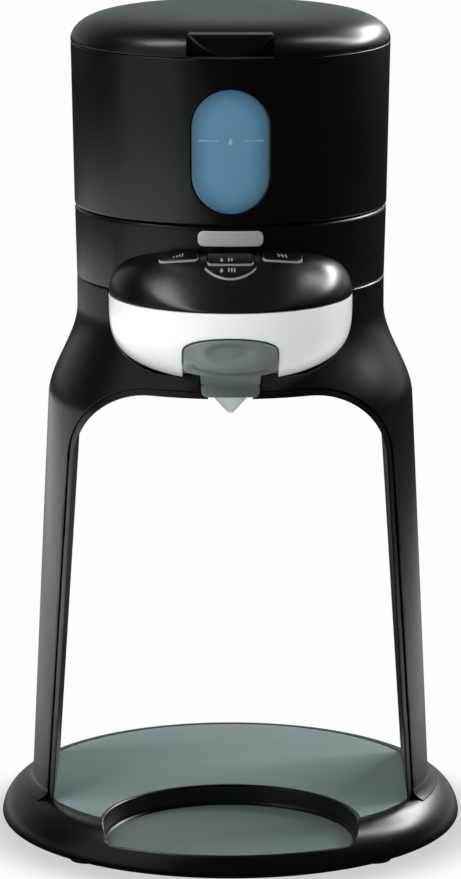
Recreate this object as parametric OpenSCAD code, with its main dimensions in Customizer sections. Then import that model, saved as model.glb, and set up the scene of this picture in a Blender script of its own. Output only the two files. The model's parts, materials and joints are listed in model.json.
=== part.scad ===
// Formula dispenser: a round base, an arched body over a bottle bay, a powder
// drawer under a button panel, and a lift-off water tank with a hinged lid.
// Origin: centre of the base, on the floor. +Z is up and the front faces -Y.

/* [Base] */
// Outer radius of the base
base_r = 93; // [92.5:0.1:93.5]
// Radius of the rim's rounding
rim_round = 14.5; // [14.2:0.1:14.6]
// Height of the deck above the floor
deck_z = 18; // [17.8:0.1:18.4]
// Radius of the bottle recess
recess_r = 50; // [46:1:54]
// Distance of the recess centre in front of the origin
recess_y = 64; // [62:1:66]
// Height of the recess floor
recess_z = 10; // [9.5:0.5:11]

/* [Arch] */
// Radius of the legs just above their feet
leg_r = 80; // [79.5:0.1:80.5]
// Inward lean of the legs, per unit of height
leg_taper = 0.048; // [0.04:0.002:0.056]
// Half-width of the tunnel at the deck
tunnel_half = 70.8; // [70.4:0.1:71.2]
// Inward lean of the tunnel's walls, per unit of height
tunnel_taper = 0.066; // [0.06:0.002:0.072]
// Height of the tunnel's ceiling
tunnel_top = 188.5; // [187.5:0.1:188.7]
// Corner radius of the tunnel
tunnel_round = 31; // [26:1:34]
// Wall thickness of the outer mouldings
wall = 2.4; // [2.2:0.1:2.6]

/* [Body] */
// Height of the seam between the arch and the collar
split_z = 226.5; // [226:0.1:227]
// Radius of the collar at that seam
collar_r = 61.1; // [60.8:0.1:61.4]
// Height of the collar's upper edge
collar_top = 254.9; // [254.5:0.1:255]

/* [Head] */
// Radius of the drawer and its cover
head_r = 47.4; // [47:0.1:47.8]
// Distance of the drawer's centre in front of the origin
head_y = 45; // [44.5:0.1:45.5]
// Height of the button panel above the seam
cover_h = 18.4; // [18:0.1:18.8]
// Travel of a button
button_travel = 0.8; // [0.4:0.1:0.8]

/* [Tank] */
// Outer radius of the tank at its lower edge
tank_r = 61.9; // [61.7:0.1:62.1]
// Height of the tank's upper edge
tank_top = 319.4; // [310:0.1:325]
// Height of the lid's dome
lid_h = 12; // [10:0.5:14]
// Half-width of the water window
window_half = 15; // [12:0.5:16]

/* [Hidden] */
$fn = 96;
gap = 0.1;
hair = 0.05;
foot_z = 2.6;
foot_round = 2.4;
rim_z = deck_z - rim_round;
deck_r = base_r - rim_round - 0.3;
deck_t = 1.6;
lip_r = base_r - 3;
lip_ring = 1.5;
cover_floor = deck_z - deck_t - gap;
flare = 3.6;
flare_h = 4.6;
flare_z = deck_z - 0.8;
flange_half = 33.2;
shoulder_lo = 178;
shoulder_hi = 214;
liner_t = 2.4;
liner_top = tunnel_top + liner_t;
screw_r = 1.5;
screw_hole = screw_r + 0.2;
pilot_r = screw_r + hair;
leg_screw_x = 76.4;
leg_screw_y = 9;
base_screw_pos = [for (a = [0:60:300]) [66 * cos(a), 66 * sin(a)]];
post_pos = [[51, -5], [-51, -5], [30, 45], [-30, 45]];
post_r = 4;
bowl_depth = 33;
bowl_floor = 197;
bowl_wall = 2.2;
bowl_top = split_z - 0.2;
slot_half = 8.6;
tongue_lo = tunnel_top + 0.3;
grip_proud = 3.6;
notch_r = 36;
floor_z = split_z - 0.05;
floor_t = 2;
outlet_r = 3.9;
board_z = 231.5;
board_t = 1.6;
switch_h = 3;
switch_top = board_z + board_t + switch_h;
dock_z = 249.5;
dock_t = 2.5;
socket_y = 10;
socket_r = 7.6;
cup_r = 10.5;
socket_low = 240;
socket_floor = 242.4;
tank_z = 255.1;
tank_lean = 0.019;
ledge_t = 2;
vessel_r = 59.5;
vessel_wall = 1.8;
vessel_z = tank_z + ledge_t + gap;
vessel_floor = vessel_z + 2;
valve_r = 5.45;
valve_top = vessel_floor + 0.4;
window_lo = 259.5;
window_hi = 307.8;
lid_z = tank_top + 0.25;
lid_r = 63.2;
hinge_y = 66.6;
hinge_z = tank_top + 0.4;
knuckle_r = 3.2;
pin_r = 1.5;
tab_half = 16.3;
tab_top = lid_z + 9.4;
tab_low = lid_z + 0.8;
pump_y = 27;
pump_z = 204.5;
pump_r = 11;
heater_y = 28;
heater_z = 233;
cord_z = 234;
// Plan centres of the switches, in the order left, right, upper, lower
switch_pos = [[-20, -64.5], [20, -64.5], [0, -68.3], [0, -76]];

// ---- curves ----

function smooth(t) = let (u = min(max(t, 0), 1)) u * u * (3 - 2 * u);

// Outer radius of the arched body at a height
function leg_line(z) = leg_r - leg_taper * (z - deck_z - 11);
function shoulder(z) = 1 - smooth((z - shoulder_lo) / (shoulder_hi - shoulder_lo));
function bell_r(z) = collar_r + (leg_line(z) - collar_r) * shoulder(z);

// How far a foot's flange stands out at a height
function flare_at(z) = flare * pow(max(0, 1 - max(0, z - flare_z) / flare_h), 2);

// Heights at which the body's outline turns, between two limits
function bell_levels(lo, hi) = let (
    turns = [for (i = [0:12]) shoulder_lo + i * (shoulder_hi - shoulder_lo) / 12])
    concat([lo], [for (z = turns) if (z > lo + hair && z < hi - hair) z], [hi]);

// Rounded dish outline below the seam, between two heights
function dish_side(r, depth, lo, hi, steps) = let (
    a0 = acos(pow((split_z - lo) / depth, 2)),
    a1 = acos(pow(max(0, split_z - hi) / depth, 2)))
    [for (i = [0:steps]) let (a = a0 + (a1 - a0) * i / steps)
        [r * sin(a), split_z - depth * sqrt(max(0, cos(a)))]];

// Tunnel outline grown by t, from the height lo
function tunnel_side(t, lo) = let (
    lean = atan(tunnel_taper),
    mid_z = tunnel_top - tunnel_round,
    mid_x = tunnel_half - tunnel_taper * (mid_z - deck_z) - tunnel_round / cos(lean),
    r = tunnel_round + t)
    concat([[mid_x + r * cos(lean) + (mid_z + r * sin(lean) - lo) * tan(lean), lo]],
           [for (i = [0:16]) let (a = lean + (90 - lean) * i / 16)
               [mid_x + r * cos(a), mid_z + r * sin(a)]]);
function flip(points) = [for (i = [len(points) - 1:-1:0]) [-points[i][0], points[i][1]]];

// ---- shared solids ----

module bell_solid(inset, lo, hi) {
    side = [for (z = bell_levels(lo, hi)) [bell_r(z) - inset, z]];
    rotate_extrude() polygon(concat([[0, lo]], side, [[0, hi]]));
}

module along_y(from, to) {
    translate([0, to, 0]) rotate([90, 0, 0]) linear_extrude(height = to - from) children();
}

module tunnel_solid(t, lo) {
    side = tunnel_side(t, lo);
    along_y(-100, 100) polygon(concat(side, flip(side)));
}

// Foot of a leg: the bell with its flange
module foot_solid(lo, hi) {
    steps = 6;
    side = [for (i = [0:steps]) let (z = flare_z + (hi - flare_z) * i / steps) [bell_r(z) + flare_at(z), z]];
    rotate_extrude() polygon(concat([[0, lo], [side[0][0], lo]], side, [[0, hi]]));
}

// Solid of the base's outer form, grown by g
module base_solid(g) {
    low_z = foot_z + foot_round;
    a0 = asin((low_z - rim_z) / rim_round);
    low_x = base_r - rim_round * (1 - cos(a0)) - foot_round;
    low_arc = [for (i = [0:4]) let (a = -90 + 90 * i / 5)
        [low_x + (foot_round + g) * cos(a), low_z + (foot_round + g) * sin(a)]];
    arc = [for (i = [0:10]) let (a = a0 + (90 - a0) * i / 10)
        [base_r - rim_round + (rim_round + g) * cos(a), rim_z + (rim_round + g) * sin(a)]];
    rotate_extrude() polygon(concat([[0, foot_z - g]], low_arc, arc, [[0, deck_z + g]]));
}

module recess_solid(grow, lo, hi) {
    intersection() {
        translate([0, -recess_y, lo]) cylinder(r = recess_r + grow, h = hi - lo);
        translate([0, 0, lo]) cylinder(r = lip_r + grow, h = hi - lo);
    }
}

module at_head(z) {
    translate([0, -head_y, z]) children();
}

// Dish hanging below the seam, cut flat at the height lo
module dish_solid(r, depth, lo, hi) {
    side = dish_side(r, depth, lo, hi, 22);
    top = hi > split_z ? [[r, hi]] : [];
    at_head(0) rotate_extrude() polygon(concat([[0, lo]], side, top, [[0, hi]]));
}

// Dome standing on the plane z = 0, for the lid and the head cover
module dome_solid(r, h, power, steps) {
    side = [for (i = [0:steps]) let (a = 90 * i / steps) [r * pow(cos(a), 2 / power), h * sin(a)]];
    rotate_extrude() polygon(concat([[0, 0]], side));
}

// Head cover's outer form, lifted by up: a dome with a sloping brow
module cover_solid(up, shrink) {
    brow_y = -head_y - 15;
    brow_z = split_z + cover_h - shrink + up;
    brow_tilt = 21;
    difference() {
        at_head(split_z + gap + up) dome_solid(head_r - shrink, cover_h - shrink, 4, 16);
        translate([0, brow_y, brow_z]) rotate([brow_tilt, 0, 0])
            translate([-60, -80, 0]) cube([120, 80, 20]);
    }
}

module collar_solid(inset, lo, hi) {
    lean = (tank_r - collar_r) / (collar_top - split_z);
    translate([0, 0, lo])
        cylinder(r1 = collar_r - inset + lean * (lo - split_z), r2 = collar_r - inset + lean * (hi - split_z),
                 h = hi - lo);
}

module tank_solid(inset, lo, hi) {
    translate([0, 0, lo])
        cylinder(r1 = tank_r - inset + tank_lean * (lo - tank_z), r2 = tank_r - inset + tank_lean * (hi - tank_z),
                 h = hi - lo);
}

module screw(length, head_r, head_h) {
    cylinder(r = head_r, h = head_h);
    cylinder(r = screw_r, h = length);
}

module pipe_path(points, r) {
    for (i = [0:len(points) - 2]) {
        d = points[i + 1] - points[i];
        translate(points[i]) rotate([0, acos(d[2] / norm(d)), atan2(d[1], d[0])]) cylinder(r = r, h = norm(d));
    }
    for (i = [1:1:len(points) - 2])
        translate(points[i]) sphere(r = r);
}

// ---- base ----

module feet_at() {
    for (a = [45:90:315])
        rotate([0, 0, a]) translate([80, 0, 0]) children();
}

module base_plate() {
    plate_t = 2;
    color("#1c2021") difference() {
        translate([0, 0, foot_z]) cylinder(r = base_r - wall - 1.4, h = plate_t);
        feet_at() translate([0, 0, foot_z - 1]) cylinder(r = 7 + gap, h = 1.8);
        for (p = base_screw_pos)
            translate([p[0], p[1], 0]) cylinder(r = screw_hole, h = 10);
    }
}

module rubber_feet() {
    color("#2b2d2e") feet_at() cylinder(r = 7, h = foot_z + 0.7);
}

module base_screws() {
    color("silver") for (p = base_screw_pos)
        translate([p[0], p[1], foot_z - 1.6]) screw(6.8, 2.8, 1.5);
}

module base_cover() {
    boss_r = 3.6;
    boss_z = foot_z + 2.2;
    color("#0e1112") difference() {
        base_solid(0);
        // hollow underside
        difference() {
            union() {
                translate([0, 0, foot_z - 1]) cylinder(r = base_r - wall - 1.2, h = 8);
                translate([0, 0, foot_z + 6]) cylinder(r = base_r - 9, h = cover_floor - wall - foot_z - 6);
            }
            recess_solid(wall, recess_z - wall, deck_z);
            for (p = base_screw_pos)
                translate([p[0], p[1], boss_z]) cylinder(r = boss_r, h = 20);
        }
        // seat for the deck, with a lip left round the recess
        difference() {
            translate([0, 0, cover_floor]) cylinder(r = deck_r + gap, h = 10);
            recess_solid(lip_ring, cover_floor - 1, deck_z + 11);
        }
        recess_solid(0, recess_z, deck_z + 5);
        for (p = base_screw_pos)
            translate([p[0], p[1], 2]) cylinder(r = pilot_r, h = 6.2);
        leg_screws_at() translate([0, 0, 5]) cylinder(r = screw_hole, h = 20);
    }
}

module base_deck() {
    color("#5c6668") difference() {
        translate([0, 0, cover_floor + hair]) cylinder(r = deck_r, h = deck_t);
        recess_solid(lip_ring + gap, 0, deck_z + 5);
        leg_screws_at() translate([0, 0, 5]) cylinder(r = screw_hole, h = 20);
    }
}

module leg_screws_at() {
    for (x = [-1, 1], y = [-1, 1])
        translate([x * leg_screw_x, y * leg_screw_y, 0]) children();
}

module leg_screws() {
    color("silver") leg_screws_at() translate([0, 0, cover_floor - wall - 2.2]) screw(24, 2.8, 2);
}

// ---- arch ----

// Outline of the tongue that closes the slot under the drawer, grown by g
module tongue_plan(g) {
    low_half = 11.1 + g;
    top_half = 12.1 + g;
    top_z = bowl_floor - gap + g;
    polygon([[-low_half, tongue_lo - g], [low_half, tongue_lo - g], [top_half, top_z], [-top_half, top_z]]);
}

// Opening through which the drawer slides
module drawer_gate() {
    slack = 0.5;
    side = [for (p = dish_side(head_r, bowl_depth, bowl_floor, split_z, 16)) [p[0] + slack, p[1] - slack]];
    half = concat(side, [[head_r + slack, split_z + 1]]);
    along_y(-90, -30) polygon(concat(half, flip(half)));
    along_y(-90, -30) tongue_plan(0.3);
}

module arch_shell() {
    block_h = 22;
    block_x = tunnel_half + liner_t + 0.4;
    color("#0e1112") difference() {
        union() {
            difference() {
                union() {
                    bell_solid(0, deck_z - 4, split_z - gap);
                    intersection() {
                        foot_solid(deck_z - 4, flare_z + flare_h);
                        translate([-base_r, -flange_half, 0]) cube([2 * base_r, 2 * flange_half, 40]);
                    }
                }
                bell_solid(wall, deck_z - 5, split_z + 1);
            }
            // foot blocks for the leg screws
            intersection() {
                bell_solid(wall / 2, deck_z - 4, deck_z + block_h);
                for (side = [0, 1])
                    mirror([side, 0, 0]) translate([block_x, -16, 0]) cube([20, 32, 60]);
            }
        }
        tunnel_solid(liner_t + gap, 0);
        base_solid(gap);
        drawer_gate();
        leg_screws_at() cylinder(r = pilot_r, h = 38);
    }
}

module arch_liner() {
    post_low = tunnel_top - 12;
    edge_inset = 0.5;
    color("#15191a") difference() {
        union() {
            intersection() {
                tunnel_solid(liner_t, deck_z + 2 * gap);
                bell_solid(edge_inset, deck_z + gap, split_z - 20);
            }
            for (p = post_pos)
                translate([p[0], p[1], post_low]) cylinder(r = post_r, h = split_z - 0.2 - post_low);
        }
        tunnel_solid(0, 0);
        base_solid(gap);
        translate([-slot_half, -90, 150]) cube([2 * slot_half, 90 - 30, 60]);
        along_y(-90, -62) tongue_plan(0.3);
        for (p = post_pos) {
            translate([p[0], p[1], 170]) cylinder(r = screw_hole, h = 80);
            translate([p[0], p[1], 160]) cylinder(r = 3.1, h = tunnel_top - 160 + 3);
        }
    }
}

module housing_screws() {
    length = 46;
    color("silver") for (p = post_pos)
        translate([p[0], p[1], tunnel_top + 0.9]) screw(length, 2.8, 2);
}

// ---- collar and head ----

module body_collar() {
    boss_h = 10;
    boss_r = 7.6;
    ledge_r = 55.5;
    color("#0e1112") difference() {
        union() {
            difference() {
                collar_solid(0, split_z, collar_top);
                collar_solid(wall, split_z - 1, collar_top + 1);
            }
            // screw bosses
            intersection() {
                collar_solid(wall / 2, split_z, split_z + boss_h);
                for (p = post_pos)
                    translate([p[0], p[1], split_z]) cylinder(r = boss_r, h = boss_h);
            }
            // ledge for the tank dock
            difference() {
                collar_solid(wall / 2, dock_z - 2, dock_z - hair);
                translate([0, 0, dock_z - 3]) cylinder(r = ledge_r, h = 4);
            }
        }
        at_head(split_z - 1) cylinder(r = head_r - bowl_wall + 0.2, h = 3.5);
        translate([-30, -70, split_z]) cube([60, 30, 12]);
        translate([0, 40, cord_z]) rotate([-90, 0, 0]) cylinder(r = 5, h = 30);
        for (p = post_pos)
            translate([p[0], p[1], split_z - 1]) cylinder(r = pilot_r, h = boss_h);
    }
}

module badge_plate() {
    half = 12.6;
    thick = 0.7;
    color("silver") intersection() {
        difference() {
            collar_solid(-thick - hair, 247, 253);
            collar_solid(-hair, 246, 254);
        }
        along_y(-70, -50) translate([0, 250]) square([2 * half, 10], center = true);
    }
}

// Plan of a button, grown by g
module button_plan(kind, g) {
    if (kind == "left") translate([-27.7 - g, -68.8 - g]) square([15.4 + 2 * g, 8.3 + 2 * g]);
    if (kind == "right") translate([12.3 - g, -68.8 - g]) square([15.4 + 2 * g, 8.3 + 2 * g]);
    if (kind == "upper") translate([-8.8 - g, -72 - g]) square([17.6 + 2 * g, 7.4 + 2 * g]);
    if (kind == "lower") intersection() {
        translate([0, -67]) circle(r = 12 + g);
        translate([-9.4 - g, -79 - g]) square([18.8 + 2 * g, 5.8 + 2 * g]);
    }
}

module button_cap(kind, grow, up, lo) {
    intersection() {
        cover_solid(up, 0);
        translate([0, 0, lo]) linear_extrude(height = 30) button_plan(kind, grow);
    }
}

module head_cover() {
    color("#0e1112") difference() {
        cover_solid(0, 0);
        translate([0, 0, -hair]) cover_solid(0, bowl_wall);
        translate([0, 0, 200]) cylinder(r = tank_r + 0.2, h = 80);
        for (kind = ["left", "right", "upper", "lower"])
            button_cap(kind, 0.2, 5, switch_top);
    }
}

module head_floor() {
    floor_half = 38;
    color("#3a3f41") difference() {
        union() {
            at_head(floor_z) cylinder(r = head_r - bowl_wall - 0.6, h = floor_t);
            translate([-floor_half, -head_y, floor_z]) cube([2 * floor_half, head_y + 5.5, floor_t]);
        }
        at_head(floor_z - 1) cylinder(r = outlet_r + gap, h = 10);
    }
}

module drawer_rails() {
    color("#3a3f41") for (side = [0, 1])
        mirror([side, 0, 0]) translate([slot_half + 0.8, -62, liner_top + gap])
            cube([4.4, 62, bowl_floor - hair - liner_top - gap]);
}

module control_board() {
    color("#1f6b3a") translate([-28, -80, board_z]) difference() {
        cube([56, 20, board_t]);
        translate([-1, -1, -1]) cube([12, 4, 5]);
        translate([45, -1, -1]) cube([12, 4, 5]);
    }
    color("#3a3f41") for (x = [-24, 24])
        translate([x, -66, floor_z + floor_t + hair]) cylinder(r = 2, h = board_z - floor_z - floor_t - hair);
}

module tact_switches() {
    color("#8d9499") for (p = switch_pos)
        translate([p[0], p[1], board_z + board_t + hair]) {
            translate([-3, -3, 0]) cube([6, 6, switch_h - 1]);
            cylinder(r = 1.6, h = switch_h - 0.2);
        }
}

module button(kind, stem) {
    cap_z = switch_top + button_travel + 0.3;
    color("#15191a") {
        button_cap(kind, 0, 0.7, cap_z);
        translate([stem[0], stem[1], cap_z - 0.2]) cylinder(r = 1.5, h = 1);
    }
}

module button_left() { button("left", switch_pos[0]); }
module button_right() { button("right", switch_pos[1]); }
module button_upper() { button("upper", switch_pos[2]); }
module button_lower() { button("lower", switch_pos[3]); }

// ---- works ----

module power_board() {
    board = [50, 1.6, 34];
    board_y = 45;
    color("#1f6b3a") translate([-board[0] / 2, board_y, liner_top + hair]) cube(board);
    color("#c98a2c") translate([-20, board_y - 5.2, 201]) cube([14, 5.3, 16]);
    color("#2b2d2e") translate([12, board_y + 0.1, 206]) rotate([90, 0, 0]) cylinder(r = 4.5, h = 5);
}

module pump() {
    color("#9aa3a6") {
        translate([-24, pump_y, pump_z]) rotate([0, 90, 0]) cylinder(r = pump_r, h = 30);
        translate([6 - hair, pump_y, pump_z]) rotate([0, 90, 0]) cylinder(r = pump_r - 1.5, h = 18);
        translate([15, pump_y, pump_z]) cylinder(r = 2.4, h = pump_r + 1.4);
        translate([0, pump_y - pump_r + 1, pump_z]) rotate([90, 0, 0]) cylinder(r = 2.4, h = 3);
    }
}

module pump_bushes() {
    color("#2b2d2e") difference() {
        for (x = [-21, 12])
            translate([x, pump_y - 9, liner_top + hair]) cube([7, 18, 8]);
        translate([-30, pump_y, pump_z]) rotate([0, 90, 0]) cylinder(r = pump_r + hair, h = 60);
    }
}

module heater_block() {
    block = [50, 22, 17.5];
    low_z = heater_z - 11;
    tab_z = split_z + 10 + hair;
    color("#b8bdc0") {
        translate([-block[0] / 2, heater_y - block[1] / 2, low_z]) difference() {
            cube(block);
            for (x = [8:7:42])
                translate([x - 1, -1, block[2] - 4]) cube([2, 24, 6]);
        }
        translate([-14, heater_y - block[1] / 2 - 4, heater_z + 1]) rotate([-90, 0, 0]) cylinder(r = 2.4, h = 5);
        // tabs that rest on the collar's rear bosses
        for (side = [0, 1])
            mirror([side, 0, 0]) translate([block[0] / 2 - 1, heater_y + 3, tab_z]) cube([10, 8, 2]);
    }
}

module thermostat() {
    color("#e8e6df") translate([0, heater_y + 11 + hair, heater_z - 4]) rotate([-90, 0, 0]) cylinder(r = 5, h = 3.4);
}

module inlet_hose() {
    color("#d7dde0") pipe_path([
        [0, socket_y, 239.9],
        [0, socket_y, pump_z],
        [0, pump_y - pump_r - 2.1, pump_z]], 2.9);
}

module pump_hose() {
    color("#d7dde0") translate([15, pump_y, pump_z + pump_r + 1.5])
        cylinder(r = 2.9, h = heater_z - 11 - hair - pump_z - pump_r - 1.5);
}

module outlet_hose() {
    hose_z = heater_z + 1;
    color("#d7dde0") pipe_path([
        [0, -head_y, floor_z + floor_t + 2.7],
        [0, -head_y, hose_z],
        [-14, -head_y, hose_z],
        [-14, heater_y - 11 - 4 - hair, hose_z]], 2.6);
}

module water_outlet() {
    color("#d7dde0") at_head(floor_z) difference() {
        union() {
            cylinder(r = outlet_r, h = floor_t + 2.6);
            translate([0, 0, floor_t + hair]) cylinder(r = outlet_r + 1.6, h = 1.2);
        }
        translate([0, 0, -1]) cylinder(r = 1.2, h = 3);
        translate([0, 0, 1.5]) cylinder(r = 2.4, h = 10);
    }
}

module cord_grommet() {
    color("#1a1d1e") difference() {
        union() {
            translate([0, 57.4, cord_z]) rotate([-90, 0, 0]) cylinder(r = 4.95, h = 8);
            translate([0, collar_r + 0.5, cord_z]) rotate([-90, 0, 0]) cylinder(r = 7, h = 1.8);
            translate([0, collar_r + 2.2, cord_z]) rotate([-90, 0, 0]) cylinder(r1 = 6, r2 = 4.2, h = 14);
        }
        translate([0, 50, cord_z]) rotate([-90, 0, 0]) cylinder(r = 3 + hair, h = 40);
    }
}

module mains_cord() {
    reach = head_y + head_r + grip_proud;
    color("#1a1d1e") translate([0, 49, cord_z]) rotate([-90, 0, 0]) cylinder(r = 3, h = reach - 49);
}

// ---- tank ----

module at_socket(z) {
    translate([0, socket_y, z]) children();
}

module tank_dock() {
    color("#2b2f31") difference() {
        translate([0, 0, dock_z]) cylinder(r = collar_r - wall + 0.2, h = dock_t);
        at_socket(dock_z - 1) cylinder(r = cup_r + gap, h = dock_t + 2);
    }
}

module valve_socket() {
    pin_r = 0.9;
    color("#2b2f31") difference() {
        union() {
            at_socket(socket_low) cylinder(r = cup_r, h = dock_z + dock_t - socket_low);
            at_socket(dock_z - 1.6) cylinder(r = cup_r + 2, h = 1.5);
        }
        difference() {
            at_socket(socket_floor) cylinder(r = socket_r, h = 20);
            at_socket(socket_floor - 1) cylinder(r = pin_r, h = 1.9);
        }
        for (a = [0:90:270])
            at_socket(socket_low - 1) rotate([0, 0, a]) translate([1.9, 0, 0]) cylinder(r = 0.6, h = 5);
    }
}

module socket_seal() {
    color("#c9cfd2") at_socket(244) difference() {
        cylinder(r = socket_r - hair, h = 2.5);
        translate([0, 0, -1]) cylinder(r = valve_r + gap, h = 5);
    }
}

module window_plan(grow) {
    mid = (window_lo + window_hi) / 2;
    straight = (window_hi - window_lo) / 2 - window_half;
    for (side = [-1, 1])
        translate([0, mid + side * straight]) circle(r = window_half + grow);
    translate([0, mid]) square([2 * (window_half + grow), 2 * straight], center = true);
}

module hinge_ears() {
    for (side = [0, 1])
        mirror([side, 0, 0]) translate([10.2, hinge_y, hinge_z]) rotate([0, 90, 0]) {
            cylinder(r = knuckle_r, h = 4.8);
            translate([0.6, -5.6, 0]) cube([knuckle_r + 4.4, 5.6 + 1, 4.8]);
        }
}

module tank_shell() {
    color("#0e1112") difference() {
        union() {
            difference() {
                tank_solid(0, tank_z, tank_top);
                tank_solid(2.2, vessel_z - gap, tank_top + 1);
                translate([0, 0, tank_z - 1]) cylinder(r = 54, h = 10);
            }
            hinge_ears();
        }
        tank_solid(2.2, vessel_z - gap, tank_top - 12);
        tank_solid(2.3, tank_top - 14, tank_top + 8);
        along_y(-70, -50) window_plan(0);
        translate([-30, hinge_y, hinge_z]) rotate([0, 90, 0]) cylinder(r = pin_r + 0.02, h = 60);
    }
}

module tank_vessel() {
    rim_z = tank_top - 1.2;
    color([0.3, 0.5, 0.68, 0.6]) difference() {
        union() {
            translate([0, 0, vessel_z]) cylinder(r = vessel_r, h = rim_z - vessel_z);
            intersection() {
                along_y(-70, -50) window_plan(-gap);
                tank_solid(0.5, tank_z, tank_top);
            }
        }
        translate([0, 0, vessel_floor]) cylinder(r = vessel_r - vessel_wall, h = 100);
        at_socket(vessel_z - 1) cylinder(r = valve_r + hair, h = 10);
    }
}

module hinge_pin() {
    color("silver") translate([-14.8, hinge_y, hinge_z]) rotate([0, 90, 0]) cylinder(r = pin_r, h = 29.6);
}

module valve_housing() {
    low = 243.6;
    web_z = 252;
    color("#d7dde0") at_socket(0) difference() {
        union() {
            translate([0, 0, low]) cylinder(r = valve_r, h = valve_top - low);
            translate([0, 0, vessel_z - 3]) cylinder(r = 8.5, h = 2.9);
        }
        translate([0, 0, low - 1]) cylinder(r = 3.9, h = web_z - low + 1);
        translate([0, 0, web_z + 1.2]) cylinder(r = 3.9, h = 20);
        translate([0, 0, low]) cylinder(r = 1.25, h = 20);
        for (a = [0:120:240])
            rotate([0, 0, a]) translate([2.6, 0, low]) cylinder(r = 0.8, h = 20);
    }
}

module valve_seal() {
    color("#c9cfd2") at_socket(valve_top + 0.02) difference() {
        cylinder(r = valve_r - 0.2, h = 1);
        translate([0, 0, -1]) cylinder(r = 3.8, h = 3);
    }
}

module valve_plunger() {
    head_z = valve_top + 1.05;
    color("#e8e6df") at_socket(0) {
        translate([0, 0, 243.8]) cylinder(r = 1.2, h = head_z - 243.8 + 0.5);
        translate([0, 0, head_z]) cylinder(r = 4.8, h = 1.4);
        translate([0, 0, 243.8]) cylinder(r = 3.2, h = 1);
    }
}

module valve_spring() {
    low = 244.9;
    high = 251.9;
    turns = 5;
    color("silver") at_socket(low) linear_extrude(height = high - low, twist = -360 * turns, slices = 80, $fn = 8)
        translate([2.5, 0]) circle(r = 0.35, $fn = 8);
}

// ---- lid ----

module lid_solid(shrink) {
    translate([0, 0, lid_z]) dome_solid(lid_r - shrink, lid_h - shrink, 6, 16);
}

module lid_cover() {
    skin = 2.2;
    notch_half = tab_half + 0.5;
    notch_y = -56;
    moon_r = (pow(tab_half, 2) + pow(tab_top - tab_low, 2)) / (2 * (tab_top - tab_low));
    color("#0e1112") difference() {
        union() {
            difference() {
                lid_solid(0);
                translate([0, 0, -hair]) lid_solid(skin);
                translate([-notch_half, -80, lid_z - 1]) cube([2 * notch_half, 80 + notch_y, tab_top - lid_z - 1]);
            }
            // back wall of the notch
            intersection() {
                lid_solid(0);
                translate([-notch_half - 1, notch_y, lid_z]) cube([2 * notch_half + 2, 1.8, lid_h]);
            }
            // half-moon pull
            intersection() {
                along_y(-64.4, notch_y + 1) intersection() {
                    translate([0, tab_low + moon_r]) circle(r = moon_r);
                    translate([-tab_half, tab_low - 1]) square([2 * tab_half, tab_top - tab_low + 1]);
                }
                union() {
                    translate([-30, -64.4, lid_z]) cube([60, 2.4, 20]);
                    translate([-30, -64.4, tab_top - 2.4]) cube([60, 12, 2.4]);
                }
            }
            // hinge knuckle and its cover
            translate([-9.9, hinge_y, hinge_z]) rotate([0, 90, 0]) cylinder(r = knuckle_r, h = 19.8);
            translate([-9.9, 60.5, hinge_z + 0.2]) cube([19.8, hinge_y - 60.5, knuckle_r - 0.2]);
        }
        translate([-30, hinge_y, hinge_z]) rotate([0, 90, 0]) cylinder(r = pin_r + hair, h = 60);
    }
}

module lid_liner() {
    disc_r = 53.9;
    plug_r = 53.4;
    disc_z = tank_top + 0.4;
    post_top = lid_z + 9.6;
    color("#c9cfd2") {
        difference() {
            union() {
                translate([0, 0, disc_z]) cylinder(r = disc_r, h = 1.4);
                translate([0, 0, disc_z - 3]) cylinder(r = plug_r, h = 4);
            }
            translate([0, 0, disc_z - 4]) cylinder(r = plug_r - 1.6, h = 4);
        }
        // posts up to the lid
        for (a = [30:120:270])
            rotate([0, 0, a]) translate([30, 0, disc_z + 1]) cylinder(r = 2.5, h = post_top - disc_z - 1);
    }
}

// ---- drawer ----

// Arched outline of the grip, grown by g
module grip_plan(g) {
    half = 18;
    low = 201.5;
    high = 216.3;
    corner = 11;
    for (x = [-1, 1])
        translate([x * (half - corner), high - corner]) circle(r = corner + g);
    translate([-half - g, low - g]) square([2 * (half + g), high - corner - low + g]);
    translate([-half + corner, low - g]) square([2 * (half - corner), high - low + 2 * g]);
}

module drawer_bowl() {
    color("#f2f4f3") difference() {
        dish_solid(head_r, bowl_depth, bowl_floor, bowl_top);
        dish_solid(head_r - bowl_wall, bowl_depth - bowl_wall, bowl_floor + bowl_wall, split_z + 2);
        difference() {
            along_y(-100, -head_y) grip_plan(0.35);
            at_head(180) cylinder(r = notch_r, h = 60);
        }
        at_head(190) cylinder(r = 6.1, h = 20);
    }
}

module powder_cup() {
    skin = 1.6;
    inset = bowl_wall + 0.3;
    color([0.85, 0.88, 0.88, 0.7]) difference() {
        dish_solid(head_r - inset, bowl_depth - inset, bowl_floor + bowl_wall + 1.3, bowl_top - 0.6);
        dish_solid(head_r - inset - skin, bowl_depth - inset - skin - 1.2, bowl_floor + 5.2, split_z + 2);
        at_head(190) cylinder(r = 7, h = 20);
    }
}

module mixing_screen() {
    color("silver") at_head(bowl_floor + 5.2 + hair) difference() {
        cylinder(r = 9.5, h = 0.8);
        for (a = [0:60:300])
            rotate([0, 0, a]) translate([4.2, 0, -1]) cylinder(r = 1.1, h = 3);
        translate([0, 0, -1]) cylinder(r = 1.1, h = 3);
    }
}

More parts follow.
